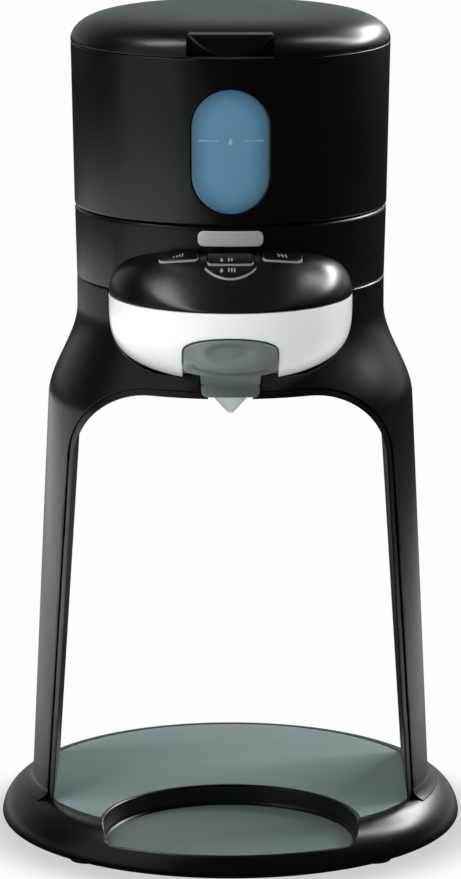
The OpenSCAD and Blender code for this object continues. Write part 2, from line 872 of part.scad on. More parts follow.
module drawer_handle() {
    web_t = 1.8;
    web_half = [[17.6, -95], [17.6, -76], [12, -70], [12, -62.4], [slot_half + 0.3, -62.4], [slot_half + 0.3, -55]];
    web_plan = concat(web_half, flip(web_half));
    keel_z = tongue_lo + 0.4;
    color("#6f7879") {
        // grip
        difference() {
            intersection() {
                along_y(-100, -head_y) grip_plan(0);
                at_head(180) cylinder(r = head_r + grip_proud, h = 60);
            }
            dish_solid(head_r - bowl_wall + 0.1, bowl_depth - bowl_wall + 0.1, bowl_floor, split_z + 2);
            at_head(180) cylinder(r = notch_r + 0.4, h = 60);
        }
        // web under the bowl, down to the tongue
        difference() {
            intersection() {
                dish_solid(head_r + web_t, bowl_depth + web_t, bowl_floor - 1, split_z);
                translate([0, 0, 190]) linear_extrude(height = 14) polygon(web_plan);
            }
            dish_solid(head_r + gap, bowl_depth + gap, bowl_floor - gap, split_z);
        }
        // tongue that closes the slot
        intersection() {
            difference() {
                bell_solid(-0.6, 185, 205);
                bell_solid(2.2, 184, 206);
            }
            along_y(-90, -40) tongue_plan(0);
        }
        // keel in the slot
        translate([-6, -65.5, keel_z]) cube([12, 10.5, bowl_floor - gap - keel_z]);
    }
}

module outlet_nozzle() {
    seat_z = bowl_floor + bowl_wall + hair;
    neck_z = 188;
    cone_z = 184;
    tip_z = 178.6;
    color([0.78, 0.82, 0.8, 0.8]) at_head(0) rotate_extrude() polygon([
        [0.9, tip_z], [1.6, tip_z], [6, cone_z], [8, neck_z], [8, neck_z + 1.6], [6, neck_z + 3],
        [6, seat_z], [8, seat_z], [8, seat_z + 1], [3.4, seat_z + 1], [3.4, cone_z + 2]]);
}

base_plate();
base_cover();
base_deck();
rubber_feet();
base_screws();
leg_screws();
arch_shell();
arch_liner();
housing_screws();
body_collar();
badge_plate();
head_cover();
head_floor();
drawer_rails();
control_board();
tact_switches();
power_board();
pump();
pump_bushes();
heater_block();
thermostat();
inlet_hose();
pump_hose();
outlet_hose();
water_outlet();
cord_grommet();
mains_cord();
tank_dock();
valve_socket();
socket_seal();
tank_shell();
tank_vessel();
hinge_pin();
valve_housing();
valve_seal();
valve_plunger();
valve_spring();
lid_cover();
lid_liner();
drawer_bowl();
powder_cup();
mixing_screen();
drawer_handle();
outlet_nozzle();
button_left();
button_right();
button_upper();
button_lower();
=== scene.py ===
"""Looks of the formula dispenser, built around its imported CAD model.

Shapes are worked out in millimetres and turned into metres when a mesh is made.
The dispenser stands on the floor at the origin and faces -Y.
"""
import json
import math

import bmesh
import bpy
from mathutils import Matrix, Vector


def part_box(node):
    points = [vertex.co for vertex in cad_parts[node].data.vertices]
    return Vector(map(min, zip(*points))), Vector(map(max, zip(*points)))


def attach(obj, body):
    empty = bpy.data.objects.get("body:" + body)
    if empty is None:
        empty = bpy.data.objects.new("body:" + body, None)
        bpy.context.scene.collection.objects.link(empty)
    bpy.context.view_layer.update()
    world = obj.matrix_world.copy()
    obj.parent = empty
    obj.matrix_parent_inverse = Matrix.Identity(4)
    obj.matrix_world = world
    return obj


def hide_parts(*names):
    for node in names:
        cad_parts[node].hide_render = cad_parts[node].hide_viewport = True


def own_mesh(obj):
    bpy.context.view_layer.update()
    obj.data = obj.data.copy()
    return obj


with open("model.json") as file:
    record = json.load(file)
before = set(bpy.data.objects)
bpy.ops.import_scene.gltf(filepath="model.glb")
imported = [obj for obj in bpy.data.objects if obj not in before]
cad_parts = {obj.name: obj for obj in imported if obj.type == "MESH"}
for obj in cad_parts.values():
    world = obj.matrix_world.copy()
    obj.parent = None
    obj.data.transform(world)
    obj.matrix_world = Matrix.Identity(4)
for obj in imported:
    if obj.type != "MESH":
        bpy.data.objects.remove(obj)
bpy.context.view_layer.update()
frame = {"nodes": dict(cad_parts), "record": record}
MM = 0.001
LOW, HIGH = 0, 1
X, Y, Z = 0, 1, 2


def edge(node, side, axis):
    """One face of a CAD node's box, in millimetres."""
    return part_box(node)[side][axis] / MM


# ---------------------------------------------------------------- sizes, from the frame
BASE_R = edge("base_cover", HIGH, X)
BASE_LOW = edge("base_cover", LOW, Z)
DECK_Z = edge("base_cover", HIGH, Z)
DECK_R = edge("base_deck", HIGH, X)
DECK_T = 1.6
SPLIT_Z = edge("drawer_bowl", HIGH, Z) + 0.2
BOWL_FLOOR = edge("drawer_bowl", LOW, Z)
COLLAR_TOP = edge("body_collar", HIGH, Z)
TANK_Z = edge("tank_shell", LOW, Z)
HEAD_R = edge("drawer_bowl", HIGH, X)
HEAD_Y = (edge("powder_cup", LOW, Y) + edge("powder_cup", HIGH, Y)) / 2
VESSEL_Z = edge("tank_vessel", LOW, Z)
VESSEL_R = edge("tank_vessel", HIGH, X)
VESSEL_TOP = edge("tank_vessel", HIGH, Z)
NOZZLE_TIP = edge("outlet_nozzle", LOW, Z)
HINGE_Y = (edge("hinge_pin", LOW, Y) + edge("hinge_pin", HIGH, Y)) / 2
HINGE_Z = (edge("hinge_pin", LOW, Z) + edge("hinge_pin", HIGH, Z)) / 2
TANK_TOP = VESSEL_TOP + 1.2
LID_Z = HINGE_Z - 0.15
LID_R = edge("lid_cover", HIGH, X)

# ---------------------------------------------------------------- sizes of the mouldings
WALL = 2.4
RIM_CENTRE, RIM_ROUND, RIM_Z, FOOT_ROUND = 78.5, 14.5, 3.5, 2.4
RECESS_R, RECESS_Y, RECESS_Z, RECESS_FRONT, RECESS_CORNER = 50.0, -64.0, 10.0, 90.0, 9.0
LEG_R, LEG_TAPER, LEG_Z = 80.0, 0.048, 29.0
FLARE, FLARE_Z, FLARE_H, FLANGE_HALF = 3.6, 17.2, 4.6, 33.2
SHOULDER_LOW, SHOULDER_HIGH = 178.0, 214.0
TUNNEL_HALF, TUNNEL_TAPER, TUNNEL_TOP, TUNNEL_ROUND, LINER_T = 70.8, 0.066, 188.5, 31.0, 2.4
COLLAR_R, TANK_R, TANK_LEAN = 61.1, 61.9, 0.019
WINDOW_HALF, WINDOW_LOW, WINDOW_HIGH = 15.0, 259.5, 307.8
TAB_HALF, TAB_TOP, LID_H = 16.3, LID_Z + 9.4, 12.0
BOWL_DEPTH, BOWL_WALL, COVER_H, BROW_START, BROW_FALL = 33.0, 2.2, 18.4, 13.0, 0.0146
BOWL_TOP = SPLIT_Z - 0.2
# The grip's outline is two arcs about two heights, squarer where the power is below 1.
GRIP_HALF, GRIP_Z, GRIP_ARCH, GRIP_LOW_Z, GRIP_LOW_ARCH, GRIP_POWER = 17.8, 211.0, 5.1, 204.0, 2.3, 0.95
NOTCH_HALF, NOTCH_ARCH, NOTCH_FOOT, NOTCH_CORNER = 18.0, 5.2, 199.0, 203.0
TONGUE_HALF, TONGUE_SPREAD, TONGUE_TOP, SLOT_TOP = 11.1, 12.1, 202.3, 200.0
BUTTON_LIFT, BUTTON_GAP = 0.95, 0.25
KNUCKLE_R, KNUCKLE_HALF, PIN_BORE = 3.2, 9.9, 1.55
WATER_Z, VALVE_TRAVEL = 288.0, 3
CONTACT_GAP = 0.25
SEGMENTS = 256
SHARP = 32  # degrees between faces, above which an edge is drawn sharp


# ---------------------------------------------------------------- mesh tools
def face_out(obj):
    """Welds doubled points and turns all faces outwards."""
    bm = bmesh.new()
    bm.from_mesh(obj.data)
    bmesh.ops.remove_doubles(bm, verts=bm.verts, dist=1e-6)
    bmesh.ops.recalc_face_normals(bm, faces=bm.faces)
    if bm.calc_volume(signed=True) < 0:
        bmesh.ops.reverse_faces(bm, faces=bm.faces)
    bm.to_mesh(obj.data)
    bm.free()
    return obj


def make_object(name, verts, faces):
    mesh = bpy.data.meshes.new(name)
    mesh.from_pydata([Vector(v) * MM for v in verts], [], faces)
    obj = bpy.data.objects.new(name, mesh)
    bpy.context.scene.collection.objects.link(obj)
    return face_out(obj)


def arc(cx, cy, r, start, end, steps):
    """Points of an arc, angles in degrees."""
    angles = [math.radians(start + (end - start) * i / steps) for i in range(steps + 1)]
    return [(cx + r * math.cos(a), cy + r * math.sin(a)) for a in angles]


def filleted(corners, steps=5):
    """Closed outline of (x, y, radius) corners, with each corner rounded."""
    points = []
    count = len(corners)
    for i, (x, y, radius) in enumerate(corners):
        here = Vector((x, y))
        if radius <= 0:
            points.append((x, y))
            continue
        before = (Vector(corners[i - 1][:2]) - here).normalized()
        after = (Vector(corners[(i + 1) % count][:2]) - here).normalized()
        half = before.angle(after) / 2
        reach = radius / math.tan(half)
        centre = here + (before + after).normalized() * radius / math.sin(half)
        a0 = here + before * reach - centre
        a1 = here + after * reach - centre
        turn = a0.angle_signed(a1)
        for k in range(steps + 1):
            t = -turn * k / steps
            points.append((centre.x + a0.x * math.cos(t) - a0.y * math.sin(t),
                           centre.y + a0.x * math.sin(t) + a0.y * math.cos(t)))
    return points


def quarter(steps):
    """Angles from 0 up to a right angle."""
    return [math.pi / 2 * i / steps for i in range(steps + 1)]


def circle(cx, cy, r, steps=48):
    return arc(cx, cy, r, 0, 360, steps)[:-1]


def lathe(name, outline, y=0.0, segments=SEGMENTS):
    """Solid of revolution of a closed (radius, height) outline about a vertical axis."""
    verts, faces, rings = [], [], []
    for r, z in outline:
        if r < 1e-6:
            rings.append([len(verts)])
            verts.append((0, y, z))
            continue
        rings.append(list(range(len(verts), len(verts) + segments)))
        for k in range(segments):
            a = 2 * math.pi * k / segments
            verts.append((r * math.cos(a), y + r * math.sin(a), z))
    for i, ring in enumerate(rings):
        nxt = rings[(i + 1) % len(rings)]
        if len(ring) == 1 and len(nxt) == 1:
            continue
        for k in range(segments):
            k2 = (k + 1) % segments
            if len(ring) == 1:
                faces.append((ring[0], nxt[k2], nxt[k]))
            elif len(nxt) == 1:
                faces.append((ring[k], ring[k2], nxt[0]))
            else:
                faces.append((ring[k], ring[k2], nxt[k2], nxt[k]))
    return make_object(name, verts, faces)


def prism(name, outline, lo, hi, axis=Z):
    """Closed outline pushed along an axis: (x, y) along Z, or (x, z) along Y."""
    count = len(outline)
    place = (lambda a, b, h: (a, b, h)) if axis == Z else (lambda a, b, h: (a, h, b))
    verts = [place(a, b, lo) for a, b in outline] + [place(a, b, hi) for a, b in outline]
    faces = [tuple(range(count)), tuple(range(2 * count - 1, count - 1, -1))]
    faces += [(i, (i + 1) % count, count + (i + 1) % count, count + i) for i in range(count)]
    return make_object(name, verts, faces)


def box(name, x0, x1, y0, y1, z0, z1):
    return prism(name, [(x0, y0), (x1, y0), (x1, y1), (x0, y1)], z0, z1)


def apply_modifiers(obj):
    graph = bpy.context.evaluated_depsgraph_get()
    mesh = bpy.data.meshes.new_from_object(obj.evaluated_get(graph))
    old = obj.data
    obj.modifiers.clear()
    obj.data = mesh
    bpy.data.meshes.remove(old)
    mesh.name = obj.name
    bm = bmesh.new()
    bm.from_mesh(mesh)
    bmesh.ops.remove_doubles(bm, verts=bm.verts, dist=2e-6)
    bmesh.ops.dissolve_degenerate(bm, dist=1e-6, edges=bm.edges)
    bm.to_mesh(mesh)
    bm.free()


def combine(obj, operation, *tools):
    """Boolean of obj with each tool in turn. The tools are used up."""
    for tool in tools:
        modifier = obj.modifiers.new("cut", "BOOLEAN")
        modifier.object = tool
        modifier.operation = operation
        modifier.solver = "EXACT"
        bpy.context.view_layer.update()
        apply_modifiers(obj)
        bpy.data.objects.remove(tool)
    return obj


def cut(obj, *tools):
    return combine(obj, "DIFFERENCE", *tools)


def join(obj, *tools):
    return combine(obj, "UNION", *tools)


def keep(obj, *tools):
    return combine(obj, "INTERSECT", *tools)


def loft(name, rings):
    """Closed solid through rings of equal point counts. A ring of one point is a tip."""
    verts, faces, index = [], [], []
    for ring in rings:
        index.append(list(range(len(verts), len(verts) + len(ring))))
        verts += ring
    for low, high in zip(index, index[1:]):
        count = max(len(low), len(high))
        for k in range(count):
            k2 = (k + 1) % count
            if len(high) == 1:
                faces.append((low[k], low[k2], high[0]))
            elif len(low) == 1:
                faces.append((low[0], high[k2], high[k]))
            else:
                faces.append((low[k], low[k2], high[k2], high[k]))
    for ring in (index[0], index[-1]):
        if len(ring) > 2:
            faces.append(tuple(ring))
    return make_object(name, verts, faces)


def on_top(a, b, h):
    return (a, b, h)


def on_front(a, b, h):
    return (a, -h, b)


def on_back(a, b, h):
    return (a, h, b)


def level(height):
    """Flat surface, for a cap or an opening."""
    return lambda a, b: height


def split(outline_at, step=2.5):
    """The same outline with its long sides divided, so that it can follow a curved surface."""
    base = outline_at(0)
    parts = [max(1, round(math.dist(p, q) / step)) for p, q in zip(base, base[1:] + base[:1])]

    def finer(grow):
        points = outline_at(grow)
        return [(p[0] + (q[0] - p[0]) * k / n, p[1] + (q[1] - p[1]) * k / n)
                for p, q, n in zip(points, points[1:] + points[:1], parts) for k in range(n)]
    return finer


def cap(name, outline_at, surface, low, r, face=on_top, rings=12):
    """Pad with a rounded upper edge and a top that follows surface(a, b).

    outline_at(grow) gives its plan, and rings counts the steps from its rim to its middle.
    """
    outline_at = split(outline_at)
    stack = [[face(a, b, low) for a, b in outline_at(0)]]
    for t in quarter(5):
        inset, down = r * (1 - math.cos(t)), r * (1 - math.sin(t))
        stack.append([face(a, b, surface(a, b) - down) for a, b in outline_at(-inset)])
    rim = outline_at(-r)
    ca, cb = sum(p[0] for p in rim) / len(rim), sum(p[1] for p in rim) / len(rim)
    for k in range(1, rings):
        t = 1 - k / rings
        ring = [(ca + (a - ca) * t, cb + (b - cb) * t) for a, b in rim]
        stack.append([face(a, b, surface(a, b)) for a, b in ring])
    stack.append([face(ca, cb, surface(ca, cb))])
    return loft(name, stack)


def opening(name, outline_at, surface, low, r, face=on_top, floor_r=0.0):
    """Cutter with its floor at low, which leaves a rounded mouth on surface(a, b).

    The edge round its floor is rounded too when floor_r is given.
    """
    outline_at = split(outline_at)
    stack = []
    for t in quarter(5) if floor_r else [0.0]:
        grow = -floor_r * (1 - math.sin(t))
        stack.append([face(a, b, low + floor_r * (1 - math.cos(t))) for a, b in outline_at(grow)])
    for t in [math.radians(15 * i) for i in range(6)]:
        plan = outline_at(r * (1 - math.cos(t)))
        stack.append([face(a, b, surface(a, b) - r * (1 - math.sin(t))) for a, b in plan])
    mouth = outline_at(r)
    stack.append([face(a, b, surface(a, b) + 0.15) for a, b in mouth])
    stack.append([face(a, b, max(surface(*p) for p in mouth) + 25) for a, b in mouth])
    return loft(name, stack)


def shade(obj, angle=SHARP):
    obj.data.shade_smooth()
    obj.data.set_sharp_from_angle(angle=math.radians(angle))


# ---------------------------------------------------------------- outlines
def ease(t):
    t = min(max(t, 0.0), 1.0)
    return t * t * (3 - 2 * t)


def bell_r(z):
    """Outer radius of the arched body at a height."""
    line = LEG_R - LEG_TAPER * (z - LEG_Z)
    upper = 1 - ease((z - SHOULDER_LOW) / (SHOULDER_HIGH - SHOULDER_LOW))
    return COLLAR_R + (line - COLLAR_R) * upper


def bell_side(inset, lo, hi):
    """Points up the body's side, close together where it curves."""
    levels, z = [], lo
    while z < hi - 0.3:
        levels.append(z)
        z += 6 if z < SHOULDER_LOW - 8 else 1.1
    return [(bell_r(z) - inset, z) for z in levels + [hi]]


def bell_front(x, z, grow=0.0):
    """Distance of the body's surface in front of the axis."""
    return math.sqrt(max(1.0, (bell_r(z) + grow) ** 2 - x * x))


def rim_height(x, y):
    """Height of the base's surface over a point of its plan."""
    out = max(0.0, math.hypot(x, y) - RIM_CENTRE)
    return RIM_Z + math.sqrt(max(0.0, RIM_ROUND ** 2 - out ** 2))


def tunnel_outline(grow, lo):
    lean = math.atan(TUNNEL_TAPER)
    mid_z = TUNNEL_TOP - TUNNEL_ROUND
    mid_x = TUNNEL_HALF - TUNNEL_TAPER * (mid_z - DECK_Z) - TUNNEL_ROUND / math.cos(lean)
    r = TUNNEL_ROUND + grow
    curve = arc(mid_x, mid_z, r, math.degrees(lean), 90, 32)
    foot = (curve[0][0] + (curve[0][1] - lo) * math.tan(lean), lo)
    side = [foot] + curve
    return side + [(-x, z) for x, z in reversed(side)]


def recess_outline(grow):
    """Plan of the bottle recess: a circle cut off by the rim, with rounded corners."""
    d = -RECESS_Y
    r1 = RECESS_R - RECESS_CORNER
    r2 = RECESS_FRONT - RECESS_CORNER
    along = (r2 * r2 - r1 * r1 + d * d) / (2 * d)
    corner_x = math.sqrt(r2 * r2 - along * along)
    corner_y = -along
    front = math.degrees(math.atan2(corner_y, corner_x))
    back = math.degrees(math.atan2(corner_y - RECESS_Y, corner_x))
    points = arc(0, RECESS_Y, RECESS_R + grow, back, 180 - back, 64)
    points += arc(-corner_x, corner_y, RECESS_CORNER + grow, 180 - back, 180 - front, 10)[1:]
    points += arc(0, 0, RECESS_FRONT + grow, -180 - front, front, 40)[1:]
    points += arc(corner_x, corner_y, RECESS_CORNER + grow, front, back, 10)[1:-1]
    return points


def dish_side(r, depth, low, high, steps=40):
    """Rounded dish below the seam, from its flat bottom up to a height."""
    start = math.acos(((SPLIT_Z - low) / depth) ** 2)
    end = math.acos((max(0.0, SPLIT_Z - high) / depth) ** 2)
    angles = [start + (end - start) * i / steps for i in range(steps + 1)]
    return [(r * math.sin(a), SPLIT_Z - depth * math.sqrt(max(0.0, math.cos(a)))) for a in angles]


def dish_front(x, z):
    """Distance of the drawer's surface in front of the axis."""
    down = min(max(0.0, SPLIT_Z - z), SPLIT_Z - BOWL_FLOOR) / BOWL_DEPTH
    r = HEAD_R * math.sqrt(1 - down ** 4)
    return -HEAD_Y + math.sqrt(max(1.0, r * r - x * x))


def cover_height(x, y, lift=0.0):
    """Height of the panel's surface over a point of its plan."""
    rho = min(1.0, math.hypot(x, y - HEAD_Y) / HEAD_R)
    return SPLIT_Z + 0.15 + cover_top(y) * math.sqrt(1 - rho ** 4) + lift


def cover_top(y):
    """Height of the panel's crown above the seam, falling towards the front."""
    forward = HEAD_Y - y - BROW_START
    return COVER_H - BROW_FALL * max(0.0, forward) ** 2


def stadium(half, low, high, steps=24):
    """Upright slot with round ends."""
    return arc(0, high - half, half, 0, 180, steps) + arc(0, low + half, half, 180, 360, steps)


def notch_outline(grow):
    """Arched notch in the drawer, open at its foot."""
    half, arch, power = NOTCH_HALF + grow, NOTCH_ARCH + grow, GRIP_POWER
    top = [(half * math.cos(a) ** power, GRIP_Z + arch * math.sin(a) ** power) for a in quarter(20)]
    right = [(half, z) for z in (BOWL_FLOOR - 3, NOTCH_FOOT, NOTCH_CORNER)] + top
    return right[:-1] + [(-x, z) for x, z in reversed(right)]


def tongue_outline(grow, top=SLOT_TOP):
    """Tongue under the grip, and the slot it covers, a little wider at the top."""
    low, corner = TUNNEL_TOP + 0.9 - grow, 2.2 + grow
    narrow, wide = TONGUE_HALF + grow, TONGUE_SPREAD + grow
    return filleted([(-narrow, low, corner), (narrow, low, corner),
                     (wide, top + grow, 0.6), (-wide, top + grow, 0.6)], 6)


def side_button(side, g):
    """Plan of a side button, its front edge set back a little at the outer end."""
    inner, outer, back = side * (12.3 - g), side * (27.7 + g), -60.5 + g
    return filleted([(inner, -69.0 - g, 1.6 + g), (outer, -67.0 - g, 2.6 + g),
                     (outer, back, 1.4 + g), (inner, back, 1.4 + g)])


def moon_button(g):
    """Plan of the lower button, the part of a circle in front of a straight edge."""
    r, offset = 12 + g, 6.2 - g
    a = math.degrees(math.asin(offset / r))
    return arc(0, -67, r, 180 + a, 360 - a, 24)


def rounded_rect(x0, x1, y0, y1, r):
    return filleted([(x0, y0, r), (x1, y0, r), (x1, y1, r), (x0, y1, r)])


def bars(x, y, heights, wide=0.55, pitch=1.1):
    """Small upright bars, as outlines that take a growth."""
    def bar(left, height):
        return lambda g: rounded_rect(left - g, left + wide + g, y - g, y + height + g, 0.12)
    return [bar(x + k * pitch, height) for k, height in enumerate(heights)]


def wave(x, y, tall=2.2, wide=0.5, swing=0.32, steps=10):
    """Small rising wave, as an outline that takes a growth."""
    def outline(g):
        levels = [i / steps for i in range(steps + 1)]
        left = [(x + swing * math.sin(2 * math.pi * t) - g, y - g + (tall + 2 * g) * t) for t in levels]
        return [(a + wide + 2 * g, b) for a, b in left] + left[::-1]
    return outline


def drop(x, y, size=1.15, steps=24):
    """Water drop, point up, as an outline that takes a growth."""
    def outline(g):
        wide, tall = 0.75 * (size + g), size + g
        angles = [2 * math.pi * i / steps for i in range(steps)]
        return [(x + wide * math.sin(t) * math.sin(t / 2) ** 1.5, y + tall * math.cos(t)) for t in angles]
    return outline


# How far back from its front each button's pale strip runs, a painted highlight along its front edge.
HIGHLIGHT_DEPTH = {"left": 3.4, "right": 3.4, "upper": 1.3, "lower": 5.6}
ICONS = {
    "left": bars(-22.0, -66.3, [0.9, 1.5, 2.1, 2.7]),
    "right": [wave(x, -66.2) for x in (18.2, 19.6, 21.0)],
    "upper": [drop(-3.4, -69.8)] + bars(-0.9, -70.8, [2.0, 2.0]),
    "lower": [drop(-3.4, -75.6)] + bars(-0.9, -76.5, [2.0, 2.0, 2.0]),
}
BUTTON_PLANS = {
    "left": lambda g: side_button(-1, g),
    "right": lambda g: side_button(1, g),
    "upper": lambda g: rounded_rect(-8.8 - g, 8.8 + g, -72.0 - g, -64.6 + g, 1.2 + g),
    "lower": moon_button,
}


# ---------------------------------------------------------------- materials
MATERIALS = {}


def start_material(name):
    """Makes a material and keeps it under its name. Returns its nodes and its shader."""
    material = bpy.data.materials.new(name)
    material.use_nodes = True
    MATERIALS[name] = material
    return material.node_tree, material.node_tree.nodes["Principled BSDF"]


def feed(tree, value, socket):
    """Gives an input a fixed value, or links it to another node's output."""
    if isinstance(value, bpy.types.NodeSocket):
        tree.links.new(value, socket)
    else:
        socket.default_value = value


def calculate(tree, operation, first, second=0.0):
    node = tree.nodes.new("ShaderNodeMath")
    node.operation = operation
    feed(tree, first, node.inputs[0])
    feed(tree, second, node.inputs[1])
    return node.outputs[0]


def product(tree, *values):
    result = values[0]
    for value in values[1:]:
        result = calculate(tree, "MULTIPLY", result, value)
    return result


def length(tree, vector):
    node = tree.nodes.new("ShaderNodeVectorMath")
    node.operation = "LENGTH"
    tree.links.new(vector, node.inputs[0])
    return node.outputs["Value"]


def coordinates(tree, kind="Object"):
    """The chosen coordinates as one output, and their three parts."""
    vector = tree.nodes.new("ShaderNodeTexCoord").outputs[kind]
    parts = tree.nodes.new("ShaderNodeSeparateXYZ")
    tree.links.new(vector, parts.inputs["Vector"])
    return vector, parts.outputs


def noise(tree, scale, detail=3.0, roughness=0.5, stretch=(1, 1, 1)):
    coords = tree.nodes.new("ShaderNodeTexCoord")
    mapping = tree.nodes.new("ShaderNodeMapping")
    mapping.inputs["Scale"].default_value = stretch
    texture = tree.nodes.new("ShaderNodeTexNoise")
    texture.inputs["Scale"].default_value = scale
    texture.inputs["Detail"].default_value = detail
    texture.inputs["Roughness"].default_value = roughness
    tree.links.new(coords.outputs["Object"], mapping.inputs["Vector"])
    tree.links.new(mapping.outputs["Vector"], texture.inputs["Vector"])
    return texture.outputs["Fac"]


def spread(tree, value, low, high, from_low=0.3, from_high=0.7):
    node = tree.nodes.new("ShaderNodeMapRange")
    node.inputs["From Min"].default_value = from_low
    node.inputs["From Max"].default_value = from_high
    node.inputs["To Min"].default_value = low
    node.inputs["To Max"].default_value = high
    tree.links.new(value, node.inputs["Value"])
    return node.outputs["Result"]


def tint(tree, factor, dark, light):
    node = tree.nodes.new("ShaderNodeMix")
    node.data_type = "RGBA"
    node.inputs["A"].default_value = (*dark, 1)
    node.inputs["B"].default_value = (*light, 1)
    tree.links.new(factor, node.inputs["Factor"])
    return node.outputs["Result"]


def relief(tree, shader, height, depth_mm, edge_mm):
    """Fine surface height over softly rounded edges."""
    corner = tree.nodes.new("ShaderNodeBevel")
    corner.samples = 4
    corner.inputs["Radius"].default_value = edge_mm * MM
    bump = tree.nodes.new("ShaderNodeBump")
    bump.inputs["Distance"].default_value = depth_mm * MM
    bump.inputs["Strength"].default_value = 1.0
    tree.links.new(corner.outputs["Normal"], bump.inputs["Normal"])
    tree.links.new(height, bump.inputs["Height"])
    tree.links.new(bump.outputs["Normal"], shader.inputs["Normal"])


def plastic(name, color, roughness, grain_mm=0.6, depth_mm=0.003, edge_mm=0.25,
            patchy=0.03, clear=0.0, coat=0.0):
    """Moulded plastic or rubber: faint patches, slightly uneven gloss and a fine moulded grain."""
    tree, shader = start_material(name)
    patches = noise(tree, 35, 4.0)
    darker = tuple(c * (1 - patchy) for c in color)
    lighter = tuple(min(1, c * (1 + patchy)) for c in color)
    color_out = tint(tree, spread(tree, patches, 0, 1), darker, lighter)
    tree.links.new(color_out, shader.inputs["Base Color"])
    gloss = noise(tree, 140, 6.0, 0.6)
    tree.links.new(spread(tree, gloss, roughness * 0.96, roughness * 1.04), shader.inputs["Roughness"])
    shader.inputs["Transmission Weight"].default_value = clear
    shader.inputs["Coat Weight"].default_value = coat
    shader.inputs["Coat Roughness"].default_value = 0.08
    relief(tree, shader, noise(tree, 1000 / grain_mm, 2.0), depth_mm, edge_mm)


def metal(name, color, roughness, stretch=(1, 1, 14), metallic=1.0):
    """Metal with fine drawn lines."""
    tree, shader = start_material(name)
    lines = noise(tree, 260, 5.0, 0.65, stretch)
    darker = tuple(c * 0.82 for c in color)
    tree.links.new(tint(tree, spread(tree, lines, 0, 1), darker, color), shader.inputs["Base Color"])
    tree.links.new(spread(tree, lines, roughness * 0.8, roughness * 1.25), shader.inputs["Roughness"])
    shader.inputs["Metallic"].default_value = metallic
    relief(tree, shader, lines, 0.01, 0.2)


def circuit_board(name):
    """Green board with paler copper tracks under its coat."""
    tree, shader = start_material(name)
    coords = tree.nodes.new("ShaderNodeTexCoord")
    tracks = tree.nodes.new("ShaderNodeTexBrick")
    tracks.inputs["Scale"].default_value = 90
    tracks.inputs["Mortar Size"].default_value = 0.06
    tracks.inputs["Color1"].default_value = (0.012, 0.09, 0.035, 1)
    tracks.inputs["Color2"].default_value = (0.014, 0.11, 0.04, 1)
    tracks.inputs["Mortar"].default_value = (0.05, 0.22, 0.09, 1)
    tree.links.new(coords.outputs["Object"], tracks.inputs["Vector"])
    tree.links.new(tracks.outputs["Color"], shader.inputs["Base Color"])
    shader.inputs["Roughness"].default_value = 0.35
    relief(tree, shader, noise(tree, 600), 0.01, 0.1)


def tank_glow_and_rim_shade(name):
    """Blue clear plastic with painted light: its colour glows faintly, and painted shade darkens it towards
    the window's rim.
    """
    tree, shader = start_material(name)
    parts = coordinates(tree)[1]
    middle = (WINDOW_LOW + WINDOW_HIGH) / 2 * MM
    straight = ((WINDOW_HIGH - WINDOW_LOW) / 2 - WINDOW_HALF) * MM
    across = calculate(tree, "ABSOLUTE", parts["X"])
    along = calculate(tree, "ABSOLUTE", calculate(tree, "SUBTRACT", parts["Z"], middle))
    beyond = calculate(tree, "MAXIMUM", calculate(tree, "SUBTRACT", along, straight), 0.0)
    flat = tree.nodes.new("ShaderNodeCombineXYZ")
    tree.links.new(across, flat.inputs["X"])
    tree.links.new(beyond, flat.inputs["Y"])
    # Painted shade mask: 0 in the window's middle and 1 at its rim, where the blue is darkest.
    rim = spread(tree, length(tree, flat.outputs[0]), 0, 1, WINDOW_HALF * MM * 0.45, WINDOW_HALF * MM)
    soft = calculate(tree, "POWER", rim, 1.6)
    color = tint(tree, soft, (0.072, 0.172, 0.262), (0.03, 0.075, 0.112))
    tree.links.new(color, shader.inputs["Base Color"])
    # Painted light: the same colour glows, so the window looks lit from behind.
    tree.links.new(color, shader.inputs["Emission Color"])
    shader.inputs["Emission Strength"].default_value = 0.35
    shader.inputs["Transmission Weight"].default_value = 0.12
    tree.links.new(spread(tree, noise(tree, 120), 0.2, 0.3), shader.inputs["Roughness"])
    relief(tree, shader, noise(tree, 900, 2.0), 0.004, 0.3)


# Each plastic: colour, roughness, then in millimetres its grain, the grain's depth and its edges' radius.
plastic("black_plastic", (0.0009, 0.0012, 0.0015), 0.3, 0.7, 0.0012, 0.3)
plastic("matt_black", (0.11, 0.142, 0.146), 0.55, 0.4, 0.01, 0.2)
plastic("dark_plastic", (0.03, 0.034, 0.036), 0.5, 0.5, 0.01)
plastic("deck_plastic", (0.19, 0.245, 0.25), 0.5, 0.4, 0.012, 0.2)
plastic("white_plastic", (0.82, 0.845, 0.84), 0.2, 0.9, 0.001, 0.3, patchy=0.008, coat=0.2)
plastic("grey_plastic", (0.135, 0.165, 0.165), 0.26, 0.7, 0.002, 0.3)
plastic("nozzle_plastic", (0.78, 0.86, 0.84), 0.3, 0.6, 0.003, 0.2, clear=0.25)
plastic("cup_plastic", (0.66, 0.71, 0.71), 0.3, 0.6, 0.003, 0.3, clear=0.3)
